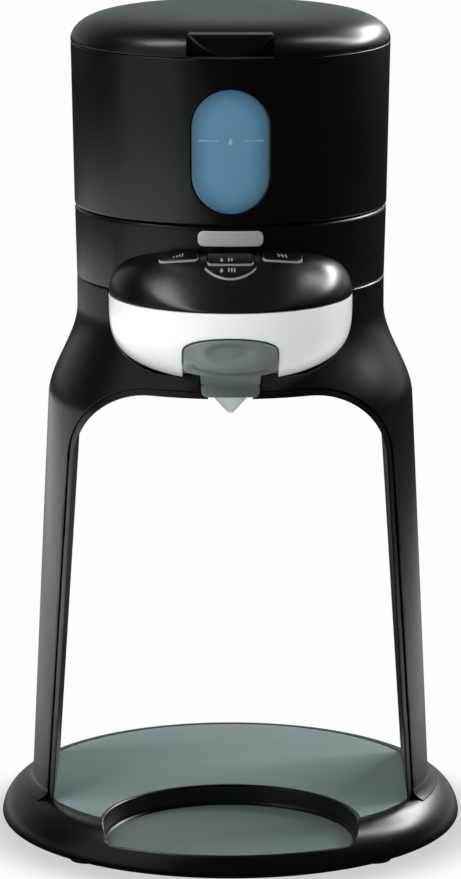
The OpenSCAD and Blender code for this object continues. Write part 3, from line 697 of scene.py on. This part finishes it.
# Tank window: blue plastic with a painted glow and painted shade at its rim.
tank_glow_and_rim_shade("tank_plastic")
plastic("foot_rubber", (0.02, 0.02, 0.021), 0.75, 0.4, 0.03, 0.5)
plastic("seal_rubber", (0.5, 0.54, 0.55), 0.55, 0.5, 0.008, 0.3)
plastic("hose_rubber", (0.55, 0.6, 0.6), 0.4, 0.5, 0.008, 0.3, clear=0.3)
plastic("cord_rubber", (0.014, 0.015, 0.016), 0.55, 0.4, 0.02, 0.3)
metal("steel", (0.62, 0.63, 0.64), 0.28)
metal("badge_metal", (0.6, 0.64, 0.64), 0.4, stretch=(14, 1, 1), metallic=0.45)
circuit_board("board")
plastic("switch_plastic", (0.08, 0.085, 0.09), 0.5)
metal("pump_metal", (0.5, 0.53, 0.54), 0.4, stretch=(1, 6, 6))
metal("heater_metal", (0.6, 0.62, 0.63), 0.42, stretch=(6, 1, 6))
plastic("ceramic", (0.7, 0.68, 0.62), 0.6, 0.5, 0.008)
plastic("print_grey", (0.3, 0.34, 0.34), 0.45, 0.3, 0.002, 0.02)
plastic("print_pale", (0.24, 0.27, 0.27), 0.45, 0.3, 0.002, 0.02)
# Pale grey of the buttons' front strips: a painted highlight.
plastic("painted_highlight_grey", (0.27, 0.31, 0.31), 0.3, 0.3, 0.002, 0.1)

SLOT_OF = {part["node"]: part["material_slot"] for part in frame["record"]["subparts"]}
BODY_OF = {node: body for body, nodes in frame["record"]["behaviour"]["bodies"].items() for node in nodes}


def paint(obj, material):
    obj.data.materials.clear()
    obj.data.materials.append(MATERIALS[material])


def stand_for(obj, node, angle=SHARP):
    """Finishes a piece that takes the place of a CAD node."""
    paint(obj, SLOT_OF[node])
    shade(obj, angle)
    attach(obj, BODY_OF[node])
    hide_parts(node)


def add_to(obj, node, material):
    """Finishes a small extra piece that goes with a CAD node's body."""
    paint(obj, material)
    shade(obj)
    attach(obj, BODY_OF[node])


# ---------------------------------------------------------------- base
def base_form(name, grow=0.0):
    """Closed solid of the base's outer form."""
    low_z = BASE_LOW + FOOT_ROUND
    start = math.asin((low_z - RIM_Z) / RIM_ROUND)
    low_x = RIM_CENTRE + RIM_ROUND * math.cos(start) - FOOT_ROUND
    foot = arc(low_x, low_z, FOOT_ROUND + grow, -90, 0, 8)[:-1]
    rim = arc(RIM_CENTRE, RIM_Z, RIM_ROUND + grow, math.degrees(start), 90, 40)
    return lathe(name, [(0, BASE_LOW - grow)] + foot + rim + [(0, DECK_Z + grow)])


def make_base():
    def deck_plan(grow):
        return circle(0, 0, DECK_R + grow, SEGMENTS)

    lip, under, shell_r = 1.5, DECK_Z - 5, BASE_R - 3.6
    seat = opening("seat", lambda g: deck_plan(0.12 + g), level(DECK_Z), DECK_Z - DECK_T - 0.1, 0.3)
    cut(seat, prism("lip", recess_outline(lip), DECK_Z - 6, DECK_Z + 30))
    hollow = lathe("hollow", [(0, BASE_LOW - 1), (shell_r, BASE_LOW - 1), (shell_r, RIM_Z + 4),
                              (BASE_R - 12, under), (0, under)])
    cut(hollow, prism("well", recess_outline(WALL), RECESS_Z - WALL, DECK_Z + 5))
    recess = opening("recess", recess_outline, rim_height, RECESS_Z, 0.8, floor_r=1.6)
    cover = cut(base_form("base_cover_visual"), seat, hollow, recess)
    stand_for(cover, "base_cover")

    matt_top = level(RECESS_Z + 0.06)
    matt = cap("recess_floor", lambda g: recess_outline(g - 1.7), matt_top, RECESS_Z - 0.3, 0.05)
    add_to(matt, "base_cover", "matt_black")

    top = level(DECK_Z - 0.05)
    deck = cap("base_deck_visual", deck_plan, top, DECK_Z - DECK_T, 0.25)
    cut(deck, opening("well", lambda g: recess_outline(lip + 0.12 + g), top, under, 0.25))
    stand_for(deck, "base_deck")


# ---------------------------------------------------------------- arch
def through(name, outline_at, surface, r):
    """Pair of cutters that pass through the arch, each with a rounded mouth on the surface."""
    return [opening(name, outline_at, surface, -1, r, face) for face in (on_front, on_back)]


def gate_outline(grow):
    """Opening for the drawer in the front of the arch."""
    bowl = dish_side(HEAD_R, BOWL_DEPTH, BOWL_FLOOR, SPLIT_Z)
    side = [(r + 0.5 + grow, z - 0.4 - grow) for r, z in bowl]
    side.append((side[-1][0], SPLIT_Z + 4))
    return side + [(-x, z) for x, z in reversed(side)]


def make_flange():
    """Flange round the feet of both legs, cut straight at its ends."""
    steps = [FLARE_Z + FLARE_H * i / 14 for i in range(14)]
    outer = [(bell_r(z) + FLARE * (1 - (z - FLARE_Z) / FLARE_H) ** 2, z) for z in steps]
    top, low, inner = FLARE_Z + FLARE_H, FLARE_Z - 4, LEG_R - 1.0
    flange = lathe("leg_flange", [(LEG_R + FLARE + 0.6, low)] + outer + [(inner, top), (inner, low)])
    keep(flange, box("ends", -100, 100, -FLANGE_HALF, FLANGE_HALF, 0, 50))
    cut(flange, prism("tunnel", tunnel_outline(LINER_T + 0.2, 0), -60, 60, Y))
    cut(flange, base_form("foot_cut", CONTACT_GAP))
    stand_for(flange, "arch_shell")


def make_arch():
    lo, hi = DECK_Z - 4, SPLIT_Z - 0.15
    outer, inner = bell_side(0, lo, hi - 0.5), bell_side(WALL, lo, hi)
    shell = lathe("arch_shell_visual", outer + [(outer[-1][0] - 0.5, hi)] + inner[::-1])
    cut(shell, *through("tunnel", lambda g: tunnel_outline(LINER_T + 0.2 + g, 0), bell_front, 0.5))
    cut(shell, base_form("foot_cut", CONTACT_GAP))
    cut(shell, opening("gate", gate_outline, bell_front, 30, 0.45, on_front))
    cut(shell, opening("slot", lambda g: tongue_outline(0.3 + g), bell_front, 40, 0.3, on_front))
    stand_for(shell, "arch_shell")
    make_flange()

    def recessed(x, z):
        return bell_front(x, z, -0.5)

    liner = prism("arch_liner_visual", tunnel_outline(LINER_T, DECK_Z - 6), -100, 100, Y)
    keep(liner, lathe("inside", [(0, 0)] + bell_side(0.5, 0, SPLIT_Z - 20) + [(0, SPLIT_Z - 20)]))
    cut(liner, *through("tunnel", lambda g: tunnel_outline(g, 0), recessed, 0.7))
    cut(liner, base_form("foot_cut", CONTACT_GAP), box("slot", -8.6, 8.6, -90, -30, 150, SPLIT_Z))
    cut(liner, prism("tongue_cut", tongue_outline(0.3), -90, -62, Y))
    stand_for(liner, "arch_liner")


# ---------------------------------------------------------------- collar, badge and tank
def collar_r(z):
    return COLLAR_R + (TANK_R - 0.1 - COLLAR_R) * (z - SPLIT_Z) / (COLLAR_TOP - SPLIT_Z)


def tank_r(z):
    return TANK_R + TANK_LEAN * (z - TANK_Z)


def tank_front(x, z):
    return math.sqrt(max(1.0, tank_r(z) ** 2 - x * x))


def make_collar():
    low, top = SPLIT_Z + 0.15, COLLAR_TOP
    outline = filleted([(collar_r(low), low, 0.4), (collar_r(top), top, 1.9),
                        (collar_r(top) - WALL - 0.6, top, 0.3), (collar_r(low) - WALL, low, 0.3)], 8)
    shell = lathe("body_collar_visual", outline)
    gate = prism("gate", circle(0, HEAD_Y, HEAD_R - 1.8, 128), SPLIT_Z - 1, SPLIT_Z + 2.5)
    cut(shell, gate, box("wire_gate", -30, 30, -70, -40, SPLIT_Z, SPLIT_Z + 12))
    cord_z = edge("mains_cord", LOW, Z) + 3
    cut(shell, prism("cord_hole", circle(0, cord_z, 5), 40, 80, Y))
    stand_for(shell, "body_collar")


def wrap(obj, radius_at):
    """Bends a flat piece round the front of the body. Its depth is read as height above the surface."""
    for v in obj.data.vertices:
        x, height, z = v.co / MM
        r = radius_at(z)
        v.co = Vector(((r + height) * math.sin(x / r), -(r + height) * math.cos(x / r), z)) * MM
    return face_out(obj)


def plate(name, outline_at, thick, r, radius_at, rings=10):
    """Thin plate with a rounded edge, lying on the front of the body."""
    return wrap(cap(name, outline_at, level(thick), 0, r, on_back, rings), radius_at)


def make_badge():
    z0, z1 = edge("badge_plate", LOW, Z), edge("badge_plate", HIGH, Z)
    half = edge("badge_plate", HIGH, X)

    def plan(g):
        return rounded_rect(-half - g, half + g, z0 - g, z1 + g, 2.2 + g)

    stand_for(plate("badge_plate_visual", plan, 0.75, 0.3, lambda z: collar_r(z) + 0.02), "badge_plate")


def along_x(obj):
    """Turns an upright piece to lie along the hinge."""
    for v in obj.data.vertices:
        x, y, z = v.co / MM
        v.co = Vector((z, HINGE_Y + y, HINGE_Z + x)) * MM
    return face_out(obj)


def hinge_rod(name, x0, x1, r, bore):
    outline = [(bore, x0), (r - 0.4, x0), (r, x0 + 0.4), (r, x1 - 0.4), (r - 0.4, x1), (bore, x1)]
    return along_x(lathe(name, outline, 0, 48))


def window_plan(grow):
    return stadium(WINDOW_HALF + grow, WINDOW_LOW - grow, WINDOW_HIGH + grow)


def make_tank():
    low_r, top_r = tank_r(TANK_Z), tank_r(TANK_TOP)
    thick, hole_r, floor = 2.2, 54, TANK_Z + 2
    outline = filleted([(low_r, TANK_Z, 0.8), (top_r, TANK_TOP, 0.5), (top_r - thick, TANK_TOP, 0.4),
                        (low_r - thick, floor, 0), (hole_r, floor, 0), (hole_r, TANK_Z, 0.3)], 5)
    shell = lathe("tank_shell_visual", outline)
    for side in (-1, 1):
        x0, x1 = sorted((side * 10.2, side * 15.0))
        web = box("web", x0, x1, HINGE_Y - 5.6, HINGE_Y - 1.7, HINGE_Z - 8.2, HINGE_Z - 0.6)
        join(shell, hinge_rod("ear", x0, x1, KNUCKLE_R, PIN_BORE - 0.03), web)
    cut(shell, opening("window", window_plan, tank_front, 52, 0.6, on_front))
    stand_for(shell, "tank_shell")


def make_vessel():
    r, floor = VESSEL_R - 0.1, VESSEL_Z + 2
    inner = VESSEL_R - 1.9
    outline = filleted([(0, VESSEL_Z, 0), (r, VESSEL_Z, 1.2), (r, VESSEL_TOP, 0.5),
                        (inner, VESSEL_TOP, 0.5), (inner, floor, 3), (0, floor, 0)], 5)
    cup = lathe("tank_vessel_visual", outline)
    pane = cap("pane", lambda g: window_plan(g - 0.1), lambda x, z: tank_front(x, z) - 0.1,
               57, 0.5, on_front, 16)
    join(cup, pane)
    socket_y = (edge("valve_housing", LOW, Y) + edge("valve_housing", HIGH, Y)) / 2
    cut(cup, prism("outlet", circle(0, socket_y, 5.55), VESSEL_Z - 2, floor + 2))
    stand_for(cup, "tank_vessel")


def make_water_line():
    """Two dashes and a drop, printed on the window."""
    def dash(x0):
        return lambda g: rounded_rect(x0 - g, x0 + 8.0 + g, WATER_Z - 0.16 - g, WATER_Z + 0.16 + g, 0.05)

    marks = [("water_line_mark", dash(-12.5), 2), ("water_line_mark", dash(4.5), 2),
             ("water_line_drop", drop(0, WATER_Z, 1.5), 3)]
    for name, plan, rings in marks:
        mark = plate(name, plan, 0.12, 0.02, lambda z: tank_r(z) - 0.14, rings)
        add_to(mark, "tank_vessel", "print_grey")


# ---------------------------------------------------------------- lid
def lid_dome(shrink, steps=28):
    r, h = LID_R - shrink, LID_H - shrink
    side = [(r * math.cos(a) ** (1 / 3), LID_Z + h * math.sin(a)) for a in quarter(steps)[:-1]]
    return side + [(0, LID_Z + h)]


def moon_outline(grow):
    """Half moon with its straight edge on top."""
    height = TAB_TOP - LID_Z - 0.8
    r = (TAB_HALF ** 2 + height ** 2) / (2 * height)
    centre = TAB_TOP - height + r
    reach = math.degrees(math.acos((centre - TAB_TOP - grow) / (r + grow)))
    return arc(0, centre, r + grow, 270 - reach, 270 + reach, 48)


def make_lid():
    skin, notch_y, half = 2.2, -56.0, TAB_HALF + 0.5
    pull_front, pull_back, ledge_y = 64.4, 61.4, -62.6
    outer = lid_dome(0)
    outer[0:1] = [(LID_R - 0.6, LID_Z), (LID_R - 0.25, LID_Z + 0.1), (LID_R - 0.07, LID_Z + 0.3)]
    cover = lathe("lid_cover_visual", outer + lid_dome(skin)[::-1])
    cut(cover, box("notch", -half, half, -80, notch_y, LID_Z - 1, TAB_TOP - 1.0))
    wall = keep(box("notch_wall", -half - 1, half + 1, notch_y, notch_y + 1.8, LID_Z, LID_Z + LID_H),
                lathe("dome", [(0, LID_Z)] + lid_dome(0.02)))
    pull = cap("pull", moon_outline, lambda x, z: pull_front - 0.5 * (x / TAB_HALF) ** 2,
               pull_back, 1.1, on_front)
    ledge = box("ledge", -TAB_HALF + 0.4, TAB_HALF - 0.4, ledge_y, notch_y + 1, TAB_TOP - 2.4, TAB_TOP)
    join(cover, wall, ledge, pull)
    knuckle = hinge_rod("knuckle", -KNUCKLE_HALF, KNUCKLE_HALF, KNUCKLE_R, PIN_BORE)
    strap = box("strap", -KNUCKLE_HALF, KNUCKLE_HALF, 60.5, HINGE_Y - 1, HINGE_Z + 0.2, HINGE_Z + 3.1)
    join(cover, knuckle, strap)
    cut(cover, along_x(lathe("pin_bore", [(0, -20), (PIN_BORE, -20), (PIN_BORE, 20), (0, 20)], 0, 32)))
    stand_for(cover, "lid_cover")


# ---------------------------------------------------------------- button panel
def panel_dome(name, shrink, lift, floor_z, steps=48, around=224):
    """Closed dome over the drawer, down to a flat floor."""
    radius = HEAD_R - shrink
    crown_z = SPLIT_Z + 0.15 + lift

    def ring(rho, height):
        angles = [2 * math.pi * k / around for k in range(around)]
        plan = [(radius * rho * math.cos(a), HEAD_Y + radius * rho * math.sin(a)) for a in angles]
        return [(x, y, crown_z + (cover_top(y) - shrink) * height) for x, y in plan]

    side = [ring(math.cos(a) ** 0.5, math.sin(a)) for a in quarter(steps)[:-1]]
    rings = [[(0, HEAD_Y, floor_z)], [(x, y, floor_z) for x, y, z in side[0]]] + side
    return loft(name, rings + [[(0, HEAD_Y, crown_z + cover_top(HEAD_Y) - shrink)]])


def raised(lift):
    return lambda x, y: cover_height(x, y, lift)


def make_panel():
    cover = panel_dome("head_cover_visual", 0, 0, SPLIT_Z + 0.15)
    cut(cover, panel_dome("inside", BOWL_WALL, -0.02, SPLIT_Z - 1))
    tank_clear = TANK_R + 0.05
    cut(cover, lathe("collar", [(0, 200), (tank_clear, 200), (tank_clear, 280), (0, 280)]))
    for plan in BUTTON_PLANS.values():
        cut(cover, opening("opening", lambda g: plan(BUTTON_GAP + g), raised(0), SPLIT_Z + 5, 0.25))
    stand_for(cover, "head_cover")
    for side in BUTTON_PLANS:
        make_button(side)


def make_button(side):
    """One button with a pale strip along its front edge, which is a painted highlight, and its printed
    icon.
    """
    node, plan = "button_" + side, BUTTON_PLANS[side]
    low = edge(node, LOW, Z) + 1.0
    stand_for(cap(node + "_visual", plan, raised(BUTTON_LIFT), low, 0.4), node, 40)

    # Painted highlight: a pale strip along the button's front edge, where its rounding would catch the
    # light.
    front = min(y for x, y in plan(0)) + HIGHLIGHT_DEPTH[side]
    chosen = [i for i, (x, y) in enumerate(plan(0)) if y < front]
    first = next(k for k, i in enumerate(chosen) if i - 1 not in chosen)
    chosen = chosen[first:] + chosen[:first]
    loop = [plan(0.06)[i] for i in chosen] + [plan(-0.45)[i] for i in reversed(chosen)]
    rings = [[(x, y, cover_height(x, y, up)) for x, y in loop] for up in (0.05, BUTTON_LIFT - 0.1)]
    add_to(loft(node + "_painted_highlight", rings), node, "painted_highlight_grey")

    for k, outline_at in enumerate(ICONS[side]):
        icon = cap("%s_icon_%d" % (node, k), outline_at, raised(BUTTON_LIFT + 0.05), low + 2, 0.03, rings=2)
        add_to(icon, node, "print_pale")


# ---------------------------------------------------------------- drawer
def make_drawer():
    hole_r, inner_r, floor = 6.1, HEAD_R - BOWL_WALL, BOWL_FLOOR + BOWL_WALL
    outer = dish_side(HEAD_R, BOWL_DEPTH, BOWL_FLOOR, BOWL_TOP - 0.5, 56)
    inner = dish_side(inner_r, BOWL_DEPTH - BOWL_WALL, floor, BOWL_TOP - 0.3, 40)
    rim = [(HEAD_R - 0.05, BOWL_TOP - 0.2), (HEAD_R - 0.4, BOWL_TOP), (inner_r + 0.3, BOWL_TOP)]
    outline = [(hole_r, BOWL_FLOOR)] + outer + rim + inner[::-1] + [(hole_r, floor)]
    bowl = lathe("drawer_bowl_visual", outline, HEAD_Y)
    cut(bowl, opening("notch", lambda g: notch_outline(0.45 + g), dish_front, 60, 0.4, on_front))
    stand_for(bowl, "drawer_bowl")


def make_cup():
    inset, skin, hole_r = BOWL_WALL + 0.3, 1.6, 7
    low, floor, side_top = BOWL_FLOOR + BOWL_WALL + 1.3, BOWL_FLOOR + 5.2, BOWL_TOP - 0.9
    r, depth = HEAD_R - inset, BOWL_DEPTH - inset
    outer = dish_side(r, depth, low, side_top, 32)
    inner = dish_side(r - skin, depth - skin - 1.2, floor, side_top, 32)
    rim = [(outer[-1][0] - 0.3, side_top + 0.3), (inner[-1][0] + 0.3, side_top + 0.3)]
    outline = [(hole_r, low)] + outer + rim + inner[::-1] + [(hole_r, floor)]
    stand_for(lathe("powder_cup_visual", outline, HEAD_Y), "powder_cup")


def grip_outline(grow, steps=120):
    """Front outline of the grip: arched above, straight sides, a shallower curve below."""
    points = []
    for i in range(steps):
        c, s = math.cos(2 * math.pi * i / steps), math.sin(2 * math.pi * i / steps)
        middle, reach = (GRIP_Z, GRIP_ARCH) if s > 0 else (GRIP_LOW_Z, GRIP_LOW_ARCH)
        points.append((math.copysign((GRIP_HALF + grow) * abs(c) ** GRIP_POWER, c),
                       middle + math.copysign((reach + grow) * abs(s) ** GRIP_POWER, s)))
    return points


def grip_front(x, z):
    """Face of the grip: a pad with a rolled lower lip over a narrow shelf, and an oval thumb dish."""
    lip_z, lip_rise, lip_roll, top_z = 203.6, 2.4, 3.2, 216.3
    shelf, bulge = 0.2, 6.2
    dish_x, dish_z, dish_half, dish_depth = 10.4, 211.6, 3.6, 1.6
    bowl = math.sqrt(max(1.0, (HEAD_R - 0.3) ** 2 - x * x)) - HEAD_Y
    across = max(0.0, 1 - (x / (GRIP_HALF + 0.6)) ** 2) ** 0.55
    lip = lip_z + lip_rise * (x / GRIP_HALF) ** 2
    up = min(max((z - lip) / (top_z - lip), 0.0), 1.0)
    roll = math.sqrt(max(0.0, 1 - (1 - min(1.0, max(0.0, (z - lip) / lip_roll))) ** 2))
    pad = across * roll * (shelf + bulge * (1 - up) ** 1.1)
    far = math.sqrt((x / dish_x) ** 2 + ((z - dish_z) / dish_half) ** 2)
    return bowl + 0.4 + pad - dish_depth * (1 - ease((far - 0.5) / 0.55))


def tongue_front(x, z):
    """Face of the tongue: on the arch's surface below, leaning out under the grip above."""
    lean_z = 193
    return bell_front(x, min(z, lean_z + 3), 0.6 + 8 * ease((z - lean_z) / 10))


def make_grip():
    stand_for(cap("drawer_grip", grip_outline, grip_front, 78, 0.5, on_front, 44), "drawer_handle", 60)
    tongue = cap("drawer_tongue", lambda g: tongue_outline(g, TONGUE_TOP), tongue_front,
                 67.5, 0.35, on_front, 14)
    keel = box("drawer_keel", -6, 6, -68, -55, TUNNEL_TOP + 0.7, BOWL_FLOOR - 0.6)
    for obj in (tongue, keel):
        stand_for(obj, "drawer_handle")


def make_nozzle():
    bore, neck, flange = 3.4, 6, 8
    seat = BOWL_FLOOR + BOWL_WALL + 0.05
    outline = filleted([(0.7, NOZZLE_TIP, 0), (1.1, NOZZLE_TIP, 0.35), (neck, 184, 0.8), (flange, 188, 0.5),
                        (flange, 189.6, 0.3), (neck, 191, 0.3), (neck, seat, 0), (flange, seat, 0),
                        (flange, seat + 1, 0.2), (bore, seat + 1, 0.2), (bore, 186, 0)], 4)
    stand_for(lathe("outlet_nozzle_visual", outline, HEAD_Y, 96), "outlet_nozzle")


def make_spring():
    """The same coil as the part's, on a mesh of its own; it is drawn at one length, though the real coil
    shortens as the plunger rises.
    """
    node = frame["nodes"]["valve_spring"]
    spring = bpy.data.objects.new("valve_spring_visual", node.data.copy())
    spring.matrix_world = node.matrix_world.copy()
    bpy.context.scene.collection.objects.link(spring)
    stand_for(spring, "valve_spring")
    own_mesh(spring)


# ---------------------------------------------------------------- stage
BACKDROP = (0.985, 0.985, 0.985)


def branch(tree, test, off, on):
    """Picks one of two shaders by a light path test."""
    rays = tree.nodes.new("ShaderNodeLightPath")
    node = tree.nodes.new("ShaderNodeMixShader")
    tree.links.new(rays.outputs[test], node.inputs[0])
    tree.links.new(off, node.inputs[1])
    tree.links.new(on, node.inputs[2])
    return node.outputs[0]


def glow(tree, color, strength=1.0):
    """Light of a given colour. Both inputs may be values or other nodes' outputs."""
    node = tree.nodes.new("ShaderNodeEmission")
    feed(tree, color, node.inputs["Color"])
    feed(tree, strength, node.inputs["Strength"])
    return node.outputs[0]


def smooth_range(tree, value, start, end):
    out = spread(tree, value, 0, 1, start, end)
    out.node.interpolation_type = "SMOOTHSTEP"
    return out


def show(tree, lit, seen, mirrored, output):
    """Gives an output one shader for light, one for the camera and one for gloss."""
    surface = branch(tree, "Is Glossy Ray", branch(tree, "Is Camera Ray", lit, seen), mirrored)
    tree.links.new(surface, tree.nodes[output].inputs["Surface"])


def make_floor():
    """Pale floor with a soft contact shadow. Gloss sees it dark, but brighter behind and at the left."""
    corners = [(-6000, -4000, 0), (6000, -4000, 0), (6000, 9000, 0), (-6000, 9000, 0)]
    floor = make_object("floor", corners, [(0, 1, 2, 3)])
    tree, shader = start_material("floor")
    shader.inputs["Base Color"].default_value = (0.85, 0.86, 0.86, 1)
    shader.inputs["Roughness"].default_value = 0.9
    shader.inputs["Specular IOR Level"].default_value = 0.0
    point, parts = coordinates(tree)
    away = length(tree, point)
    shadow = smooth_range(tree, away, (BASE_R - 5) * MM, (BASE_R + 26) * MM)
    seen = glow(tree, tint(tree, shadow, (0.6, 0.61, 0.61), BACKDROP))

    behind = smooth_range(tree, parts["Y"], -0.05, 0.1)
    near = smooth_range(tree, away, 0.8, 0.3)
    outside = smooth_range(tree, calculate(tree, "ABSOLUTE", parts["X"]), 0.04, 0.22)
    sheen = product(tree, behind, near, outside, 0.75)
    left = smooth_range(tree, parts["X"], -0.15, -0.45)
    side = product(tree, left, smooth_range(tree, away, 1.3, 0.9), 1.4)
    strength = calculate(tree, "ADD", calculate(tree, "MAXIMUM", sheen, side), 0.02)
    mirrored = glow(tree, (0.92, 1.0, 1.0, 1), strength)
    show(tree, shader.outputs[0], seen, mirrored, "Material Output")
    paint(floor, "floor")


def make_world():
    """Even light and a pale backdrop. Gloss sees a paler band low at the back."""
    world = bpy.data.worlds.new("studio")
    bpy.context.scene.world = world
    world.use_nodes = True
    tree = world.node_tree
    tree.nodes.remove(tree.nodes["Background"])
    parts = coordinates(tree, "Generated")[1]
    low, back = smooth_range(tree, parts["Z"], 0.85, 0.1), smooth_range(tree, parts["Y"], 0.3, 0.85)
    band = product(tree, low, back)
    mirrored = glow(tree, tint(tree, band, (0.012, 0.015, 0.016), (0.34, 0.4, 0.41)))
    show(tree, glow(tree, (0.96, 1.0, 0.99, 1), 0.26), glow(tree, (*BACKDROP, 1)), mirrored, "World Output")


def softbox(name, azimuth, elevation, distance, width, height, power,
            target=(0, 0, 0.2), mirrored=True):
    """Rectangular light aimed at a target. Azimuth 0 is the camera's side and 90 is the right."""
    a, e = math.radians(azimuth), math.radians(elevation)
    aim = Vector(target)
    place = aim + distance * Vector((math.sin(a) * math.cos(e), -math.cos(a) * math.cos(e), math.sin(e)))
    light = bpy.data.lights.new(name, "AREA")
    light.shape = "RECTANGLE"
    light.size, light.size_y = width, height
    light.energy = power
    obj = bpy.data.objects.new(name, light)
    obj.location = place
    obj.rotation_euler = (aim - place).to_track_quat("-Z", "Y").to_euler()
    obj.visible_glossy = mirrored
    bpy.context.scene.collection.objects.link(obj)


def make_lights():
    softbox("left_wall", -58, 12, 1.0, 1.0, 1.3, 1.6, (0, 0, 0.35))
    softbox("left_high", -80, 62, 1.5, 0.4, 0.6, 6)
    softbox("right_rear", 134, 28, 1.5, 1.15, 0.3, 19)
    softbox("right_high", 112, 46, 1.5, 0.3, 0.9, 7)
    softbox("key", -40, 34, 1.6, 0.8, 0.8, 15, mirrored=False)
    softbox("fill_right", 75, 25, 1.6, 0.6, 0.8, 1.5, mirrored=False)


def make_camera():
    camera = bpy.data.cameras.new("camera")
    camera.lens = 187.6
    camera.sensor_width = 36
    obj = bpy.data.objects.new("camera", camera)
    obj.location = (0, -1.8, 0.541)
    obj.rotation_euler = (math.radians(90 - 12.01), 0, 0)
    bpy.context.scene.collection.objects.link(obj)
    bpy.context.scene.camera = obj
    bpy.context.scene.view_settings.view_transform = "Standard"


for node, obj in frame["nodes"].items():
    paint(obj, SLOT_OF[node])
    shade(obj, 30)
make_base()
make_arch()
make_collar()
make_badge()
make_tank()
make_vessel()
make_water_line()
make_lid()
make_panel()
make_drawer()
make_cup()
make_grip()
make_nozzle()
make_spring()
make_floor()
make_world()
make_lights()
make_camera()
